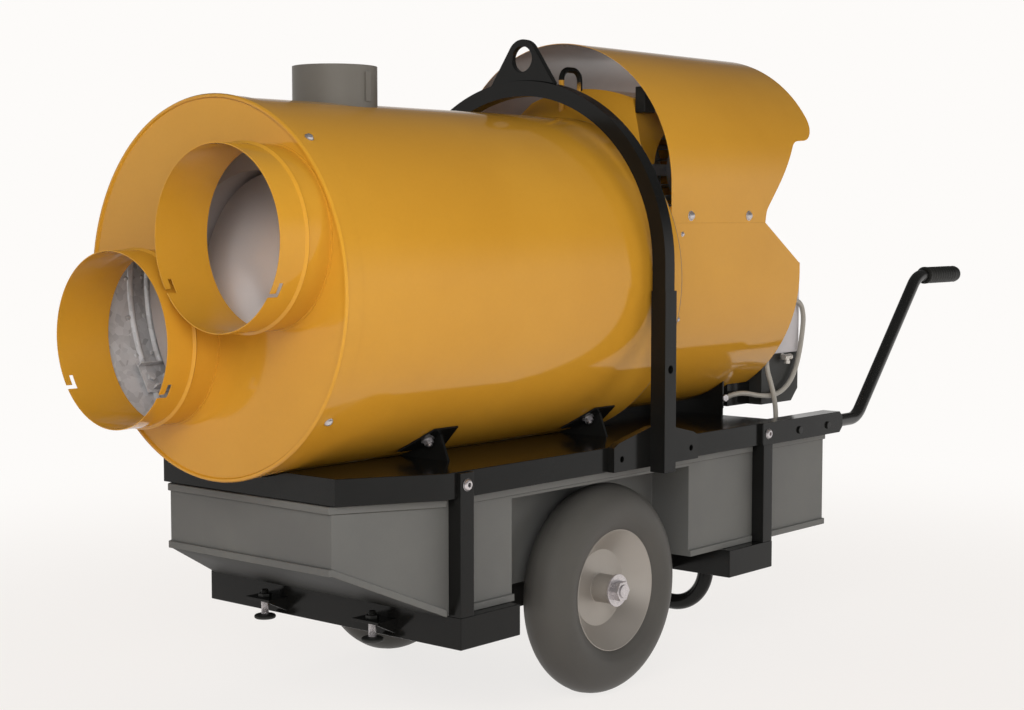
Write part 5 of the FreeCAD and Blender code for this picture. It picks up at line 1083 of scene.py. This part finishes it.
@dataclass
class Casing:
    """The yellow casing behind the barrel, with the blower and the controls in it."""

    hood_axis: float = 966.0
    inward_slope: float = 0.3
    bow_low: float = 1169.0
    bow_half: float = 7.0
    # the control box's face, its half width, its ends and the rim round it
    panel_face: float = 476.0
    panel_half: float = 90.0
    panel_ends: Pair = (800.0, 900.0)
    rim: float = 5.0
    rim_sunk: float = 1.0
    rim_proud: float = 2.0
    rim_edge: float = 0.7
    screw_inset: float = 11.0
    # radii and heights of a screw's head and of the pilot lamp's lens
    screw: Pair = (3.6, 2.6)
    lens: Pair = (7.0, 6.5)
    pilot: Pair = (-40.0, 824.0)
    # the selector's place and end, its pointer's ends over that place, and the dots at its stops
    knob: Pair = (-40.0, 868.0)
    knob_end: float = 492.4
    pointer_ends: Pair = (3.0, 15.0)
    pointer_half: float = 1.4
    pointer_sunk: float = 0.6
    pointer_proud: float = 0.7
    pointer_edge: float = 0.3
    stops: tuple[float, ...] = (-60.0, -30.0, 0.0, 30.0, 60.0)
    dot_ring: float = 23.5
    dot_sunk: float = 0.3
    dot: Pair = (1.8, 0.9)
    dot_edge: float = 0.25

    def build(self) -> None:
        """Make the casing, the duct, the blower and the control box."""
        dress("lower_shell", YELLOW, round_mm=0.4)
        # the hood's inward faces are painted taupe grey as the shade inside the hood
        dress("rear_hood", YELLOW, round_mm=0.4, lined=(SHADED_LINING, self._is_shaded_inside))
        # the bow handle is painted black as the shade under the hood
        dress("air_duct", YELLOW, round_mm=0.4, lined=(BLACK, self._is_shaded_bow))
        dress("blower_housing", YELLOW, round_mm=0.6)
        dress("blower_wheel", GALVANISED, body=Body.ROTOR)
        dress("blower_motor", ALLOY, round_mm=2.0, segments=3)
        dress("blower_shelf", BLACK, round_mm=1.0)
        dress("junction_box", BURNER_BLACK, round_mm=2.5, segments=3)
        dress("control_box", BURNER_BLACK, round_mm=1.4, segments=3)
        dress("selector_knob", CAP, round_mm=1.2, segments=3, body=Body.SELECTOR)
        self._panel()
        self._dial()

    def _is_shaded_inside(self, face: bmesh.types.BMFace) -> bool:
        """Whether a face of the hood looks inwards, where the shade inside the hood is painted."""
        spot = face.calc_center_median()
        out = Vector((0.0, spot.y, spot.z - self.hood_axis * MM)).normalized()
        return face.normal.dot(out) < -self.inward_slope

    def _is_shaded_bow(self, face: bmesh.types.BMFace) -> bool:
        """Whether a face of the duct is on its bow handle, which is painted black as the shade under the
        hood.
        """
        spot = face.calc_center_median()
        return spot.z > self.bow_low * MM and abs(spot.y) < self.bow_half * MM

    def _panel(self) -> None:
        """Frame the control box's face, screw it down and give it a pilot lamp."""
        half = self.panel_half
        low, high = self.panel_ends
        side, under, over = half - self.rim, low + self.rim, high - self.rim
        rim, screws, lamp = Form(), Form(), Form()
        for near, far in (((-half, low), (half, under)), ((-half, over), (half, high)),
                          ((-half, under), (-side, over)), ((side, under), (half, over))):
            rim.block((self.panel_face - self.rim_sunk, *near), (self.panel_face + self.rim_proud, *far))
        rim.merge()
        rim.soften(self.rim_edge)
        rim.place("control_box_rim", BURNER_BLACK)
        inset = half - self.screw_inset
        for y in (-inset, inset):
            for z in (low + self.screw_inset, high - self.screw_inset):
                Fasteners.dome(screws, (self.panel_face, y, z), ALONG, *self.screw)
        screws.place("control_box_screws", ZINC)
        Fasteners.dome(lamp, (self.panel_face, *self.pilot), ALONG, *self.lens)
        lamp.place("pilot_lamp_lens", AMBER)

    def _dial(self) -> None:
        """Mark the selector: a pointer on its grip and dots on the panel at its stops."""
        pointer, dots = Form(), Form()
        y, z = self.knob
        pointer.block(
            (self.knob_end - self.pointer_sunk, y - self.pointer_half, z + self.pointer_ends[0]),
            (self.knob_end + self.pointer_proud, y + self.pointer_half, z + self.pointer_ends[1]))
        pointer.soften(self.pointer_edge)
        pointer.place("selector_pointer", INK, Body.SELECTOR)
        for degrees in self.stops:
            turn = math.radians(degrees)
            aside, rise = self.dot_ring * math.sin(turn), self.dot_ring * math.cos(turn)
            dots.peg((self.panel_face - self.dot_sunk, y + aside, z + rise), ALONG, *self.dot)
        dots.soften(self.dot_edge)
        dots.place("selector_dots", INK)


@dataclass
class Lifting:
    """Saddles under the barrel, and the arch with its eye and feet."""

    shell_radius: float = 291.0
    apron_low: float = 491.0
    # front x, rear x and half width of the saddle's upper web and of the apron up to the burner's base
    apron_spans: tuple[Triple, ...] = ((278.5, 283.5, 172.0), (318.0, 404.5, 158.0))
    apron_steps: int = 10
    apron_edge: float = 0.6
    # the bolt's seat, the way that it faces, and its head's radius and height
    bolt: Triple = (287.0, -171.0, 513.0)
    bolt_way: Triple = (-0.3, -1.0, 0.0)
    bolt_head: Pair = (8.0, 6.0)

    def build(self) -> None:
        """Make the saddles, the arch and its feet."""
        self._apron()
        for node in ("front_saddle", "middle_saddle", "rear_saddle"):
            dress(node, BLACK, round_mm=0.8)
        dress("lifting_arch", BLACK, round_mm=2.5, segments=3)
        dress("lifting_eye", BLACK, round_mm=2.0, segments=3)
        dress("arch_feet", BLACK, round_mm=0.8)

    def _apron(self) -> None:
        """Fill in under the lower shell between the rear saddle and the burner's base, and bolt it."""
        form, bolt = Form(), Form()
        for front, rear, half in self.apron_spans:
            curve = [(front, y, z) for y, z in belly(self.shell_radius, half, self.apron_steps)]
            form.prism([(front, -half, self.apron_low)] + curve + [(front, half, self.apron_low)],
                       (rear - front, 0, 0))
        form.soften(self.apron_edge)
        form.place("rear_saddle_apron", BLACK)
        bolt.peg(self.bolt, self.bolt_way, *self.bolt_head, HEXAGON)
        bolt.soften(self.apron_edge)
        bolt.place("rear_saddle_bolt", ZINC)


@dataclass
class Fasteners:
    """Domed screws round the lid and casing, and washered bolts on the frame."""

    # shares of a domed head's height and radius
    DOME: ClassVar[Outline] = ((0.0, 0.0), (0.0, 1.0), (0.14, 1.0), (0.2, 0.86), (0.55, 0.76), (0.82, 0.55),
                               (0.96, 0.28), (1.0, 0.0))
    # heights of a button head's washer and shares of its radius, then shares of the head's height and radius
    WASHER: ClassVar[Outline] = ((0.0, 0.0), (0.0, 1.0), (1.4, 1.0), (1.8, 0.92), (1.8, 0.86))
    BUTTON: ClassVar[Outline] = ((0.75, 0.8), (1.0, 0.6), (1.0, 0.36), (0.4, 0.34), (0.4, 0.0))
    HEAD_STEPS: ClassVar[int] = 32

    # the lid's screws, with the radius and height of a head
    lid_x: float = -963.0
    lid_radius: float = 323.8
    lid_angles: tuple[float, ...] = (40.0, 130.0, 220.0, 310.0)
    lid_head: Pair = (8.0, 6.0)
    # the bolts and screws on the casing's sides
    case_half: float = 290.0
    case_bolts: tuple[Pair, ...] = ((-14.0, 906.0), (193.0, 906.0))
    bolt_head: Pair = (10.0, 7.5)
    case_screws: tuple[Triple, ...] = ((-42.5, 290.0, 870.0), (-42.5, 279.9, 702.0))
    screw_head: Pair = (5.0, 4.0)
    # the button heads on the straps
    strap_bolts: tuple[Pair, ...] = ((-715.0, 453.0), (223.0, 453.0))
    side_face: float = 325.0
    button: Pair = (11.0, 5.5)
    # the bolts on the saddles' tabs: seat, radius, height and sides of the washer, nut and bolt end
    tab_x: Pair = (-658.0, -201.0)
    tab_angle: float = 33.4
    tab_radius: float = 325.3
    tab_stack: tuple[tuple[float, float, float, int], ...] = (
        (0.0, 12.5, 2.2, 24), (2.2, 9.5, 6.5, HEXAGON), (8.7, 4.5, 4.0, 24))
    edge: float = 0.6
    # a socket's floor, painted dark as the shade in the socket: how squarely it faces out, and shares of the
    # head's height and radius that its place and the way round one of its faces stay under
    floor_slope: float = 0.9
    floor_reach: float = 0.45
    floor_girth: float = 0.84

    def build(self) -> None:
        """Make both sets of fasteners."""
        self._casing_screws()
        self._frame_bolts()

    @staticmethod
    def dome(form: Form, spot: Triple, out: Triple, radius: float, height: float) -> None:
        """Spin a domed head with a thin flange.

        Args:
            form: The mesh to add to.
            spot: The middle of its seat.
            out: The way it faces.
            radius: Its flange radius.
            height: Its height.
        """
        outline = [(height * rise, radius * share) for rise, share in Fasteners.DOME]
        form.turn(outline, out, spot, Fasteners.HEAD_STEPS)

    def _button(self, form: Form, spot: Triple, out: Triple) -> None:
        """Spin a flat button head with a socket on a thin washer.

        Args:
            form: The mesh to add to.
            spot: The middle of its seat.
            out: The way it faces.
        """
        edge, height = self.button
        outline = [(rise, edge * share) for rise, share in self.WASHER]
        outline += [(height * rise, edge * share) for rise, share in self.BUTTON]
        form.turn(outline, out, spot, self.HEAD_STEPS)

    def _casing_screws(self) -> None:
        """Make the lid's screws and the casing's bolts."""
        form = Form()
        for degrees in self.lid_angles:
            spot, out = on_drum(self.lid_x, self.lid_radius, degrees)
            self.dome(form, spot, out, *self.lid_head)
        for side in Side:
            out = (0.0, float(side.sign), 0.0)
            for x, z in self.case_bolts:
                self.dome(form, (x, self.case_half * side.sign, z), out, *self.bolt_head)
            for x, reach, z in self.case_screws:
                self.dome(form, (x, reach * side.sign, z), out, *self.screw_head)
        form.place("casing_screw_heads", ZINC, Body.HEATER, ["casing_screws"])

    def _is_shaded_socket(self, face: bmesh.types.BMFace) -> bool:
        """Whether a face is the floor of a button head's socket, which is painted dark as the shade in the
        socket.
        """
        edge, height = self.button
        reach = (self.side_face + height * self.floor_reach) * MM
        return (abs(face.calc_center_median().y) < reach and abs(face.normal.y) > self.floor_slope
                and face.calc_perimeter() < edge * self.floor_girth * MM)

    def _frame_bolts(self) -> None:
        """Make the bolts on the straps and on the saddles' tabs."""
        form = Form()
        for side in Side:
            for x, z in self.strap_bolts:
                self._button(form, (x, self.side_face * side.sign, z), (0.0, float(side.sign), 0.0))
            for x in self.tab_x:
                spot, out = on_drum(x, self.tab_radius, 270 + self.tab_angle * side.sign)
                for seat, radius, height, sides in self.tab_stack:
                    form.peg(tuple(Vector(spot) + Vector(out) * seat), out, radius, height, sides)
        form.soften(self.edge)
        # the sockets' floors are painted dark as the shade in them
        form.place("frame_bolt_heads", ZINC, Body.HEATER, ["frame_bolts"], lined=(OXIDE, self._is_shaded_socket))


@dataclass
class Lamp:
    """One soft studio lamp, with its place and size in metres."""

    name: str
    place: Triple
    size: Pair
    watts: float

    def build(self, target: Vector) -> None:
        """Hang the lamp and turn it to a target.

        Args:
            target: The point it faces, in metres.
        """
        light = bpy.data.lights.new(self.name, "AREA")
        light.shape = "RECTANGLE"
        light.size, light.size_y = self.size
        light.energy = self.watts
        lamp = bpy.data.objects.new(self.name, light)
        lamp.location = self.place
        # Shiny surfaces mirror the white surround alone, so that no lamp burns a hot spot into the paint.
        lamp.visible_glossy = False
        lamp.rotation_euler = (target - Vector(self.place)).to_track_quat("-Z", "Y").to_euler()
        bpy.context.scene.collection.objects.link(lamp)


@dataclass
class Studio:
    """Camera, floor, world and lamps."""

    camera_mm: Triple = (-2966.24, -2352.21, 909.88)
    azimuth_deg: float = -49.4235
    down_deg: float = 4.467
    lens_mm: float = 63.505
    sensor_mm: float = 36.0
    view_reach: float = 200.0
    white: str = "#FDFBF9"
    ambient: float = 0.75
    # how far up the surround has turned to ceiling, and the share of light that is left there
    ceiling_rise: float = 0.38
    ceiling_share: float = 0.12
    # the floor's colour and half size, where it starts and ends turning white, and how white its middle is
    floor_colour: str = "#F3E6DA"
    floor_reach: float = 60.0
    floor_cells: int = 4
    floor_fade: Pair = (0.9, 3.2)
    floor_glow: float = 0.8
    target: Triple = (-0.1, 0.0, 0.6)
    lamps: tuple[Lamp, ...] = (
        Lamp("key_softbox", (-3.6, -2.0, 2.4), (2.4, 1.8), 74.0),
        Lamp("front_softbox", (-3.2, -3.6, 1.2), (2.0, 1.6), 62.0),
        Lamp("fill_softbox", (1.8, -4.0, 1.5), (2.4, 1.8), 44.0),
        Lamp("top_softbox", (-0.2, 0.4, 4.2), (3.2, 2.4), 8.0),
        Lamp("back_softbox", (0.8, 4.4, 1.2), (3.2, 1.8), 95.0),
        Lamp("rear_softbox", (4.4, 0.6, 1.4), (2.4, 1.8), 60.0))

    def build(self) -> None:
        """Set up the studio."""
        scene = bpy.context.scene
        scene.view_settings.view_transform = "Standard"
        self._camera(scene)
        self._world(scene)
        self._floor(scene)
        for lamp in self.lamps:
            lamp.build(Vector(self.target))

    def _camera(self, scene: bpy.types.Scene) -> None:
        """Stand the camera where the photograph was taken from.

        Args:
            scene: The scene.
        """
        data = bpy.data.cameras.new("photo_camera")
        data.sensor_fit = "HORIZONTAL"
        data.sensor_width = self.sensor_mm
        data.lens = self.lens_mm
        data.clip_end = self.view_reach
        camera = bpy.data.objects.new("photo_camera", data)
        camera.location = Vector(self.camera_mm) * MM
        camera.rotation_euler = (math.radians(90 - self.down_deg), 0.0, math.radians(self.azimuth_deg))
        scene.collection.objects.link(camera)
        scene.camera = camera

    @staticmethod
    def _rays(tree: bpy.types.NodeTree) -> tuple[bpy.types.NodeSocket, bpy.types.NodeSocket]:
        """Tell the camera's rays and those off or through shiny things from the rest.

        Args:
            tree: The tree of the world or the floor.

        Returns:
            A socket that is 1 on camera rays, and one that is 1 on glossy and transmission rays.
        """
        path = add_node(tree, "ShaderNodeLightPath")
        shiny = add_node(tree, "ShaderNodeMath", {"operation": "MAXIMUM"}, {
            0: path.outputs["Is Glossy Ray"], 1: path.outputs["Is Transmission Ray"]})
        return path.outputs["Is Camera Ray"], shiny.outputs[0]

    def _world(self, scene: bpy.types.Scene) -> None:
        """Make a white surround that is darker overhead, as a studio's ceiling is, except to the camera.

        Args:
            scene: The scene.
        """
        world = bpy.data.worlds.new("white_studio")
        tree = bare_tree(world)
        camera, shiny = self._rays(tree)
        way = add_node(tree, "ShaderNodeSeparateXYZ", None, {
            0: add_node(tree, "ShaderNodeTexCoord").outputs["Generated"]})
        ceiling = add_node(tree, "ShaderNodeMapRange", {"interpolation_type": "SMOOTHSTEP"}, {
            "Value": way.outputs["Z"], "From Min": 0.0, "From Max": self.ceiling_rise,
            "To Min": 1.0, "To Max": self.ceiling_share})
        share = add_node(tree, "ShaderNodeMapRange", None, {
            "Value": shiny, "To Min": self.ambient, "To Max": 1.0})
        inside = add_node(tree, "ShaderNodeMath", {"operation": "MULTIPLY"}, {
            0: share.outputs["Result"], 1: ceiling.outputs["Result"]})
        level = add_node(tree, "ShaderNodeMath", {"operation": "MAXIMUM"}, {0: inside.outputs[0], 1: camera})
        light = add_node(tree, "ShaderNodeBackground", None, {
            "Color": to_linear(self.white), "Strength": level.outputs[0]})
        add_node(tree, "ShaderNodeOutputWorld", None, {"Surface": light.outputs["Background"]})
        scene.world = world

    def _floor(self, scene: bpy.types.Scene) -> None:
        """Lay a pale floor that keeps the shadow near the heater and is white far away.

        Args:
            scene: The scene.
        """
        form = Form()
        bmesh.ops.create_grid(form.bm, x_segments=self.floor_cells, y_segments=self.floor_cells,
                              size=self.floor_reach)
        mesh = bpy.data.meshes.new("floor")
        form.bm.to_mesh(mesh)
        form.bm.free()
        made = bpy.data.materials.new("pale_studio_floor")
        tree = bare_tree(made)
        camera, shiny = self._rays(tree)
        seen = add_node(tree, "ShaderNodeMath", {"operation": "MAXIMUM"}, {0: camera, 1: shiny})
        place = add_node(tree, "ShaderNodeTexCoord").outputs["Object"]
        distance = add_node(tree, "ShaderNodeVectorMath", {"operation": "LENGTH"}, {0: place})
        far = add_node(tree, "ShaderNodeMapRange", {"interpolation_type": "SMOOTHSTEP"}, {
            "Value": distance.outputs["Value"], "From Min": self.floor_fade[0],
            "From Max": self.floor_fade[1], "To Min": self.floor_glow})
        share = add_node(tree, "ShaderNodeMath", {"operation": "MULTIPLY"}, {
            0: far.outputs["Result"], 1: seen.outputs[0]})
        matt = add_node(tree, "ShaderNodeBsdfDiffuse", None, {"Color": to_linear(self.floor_colour)})
        white = add_node(tree, "ShaderNodeEmission", None, {"Color": to_linear(self.white), "Strength": 1.0})
        mixed = add_node(tree, "ShaderNodeMixShader", None, {
            0: share.outputs[0], 1: matt.outputs["BSDF"], 2: white.outputs["Emission"]})
        add_node(tree, "ShaderNodeOutputMaterial", None, {"Surface": mixed.outputs["Shader"]})
        mesh.materials.append(made)
        floor = bpy.data.objects.new("floor", mesh)
        scene.collection.objects.link(floor)


def main() -> None:
    """Build the heater's looks in order."""
    Studio().build()
    for part in (Burner(), Wheels(), Chassis(), Tank(), Deck(), Barrel(), Casing(), Lifting(), Fasteners()):
        part.build()
        LOG.info("%s is done", type(part).__name__)


if __name__ == "__main__":
    main()
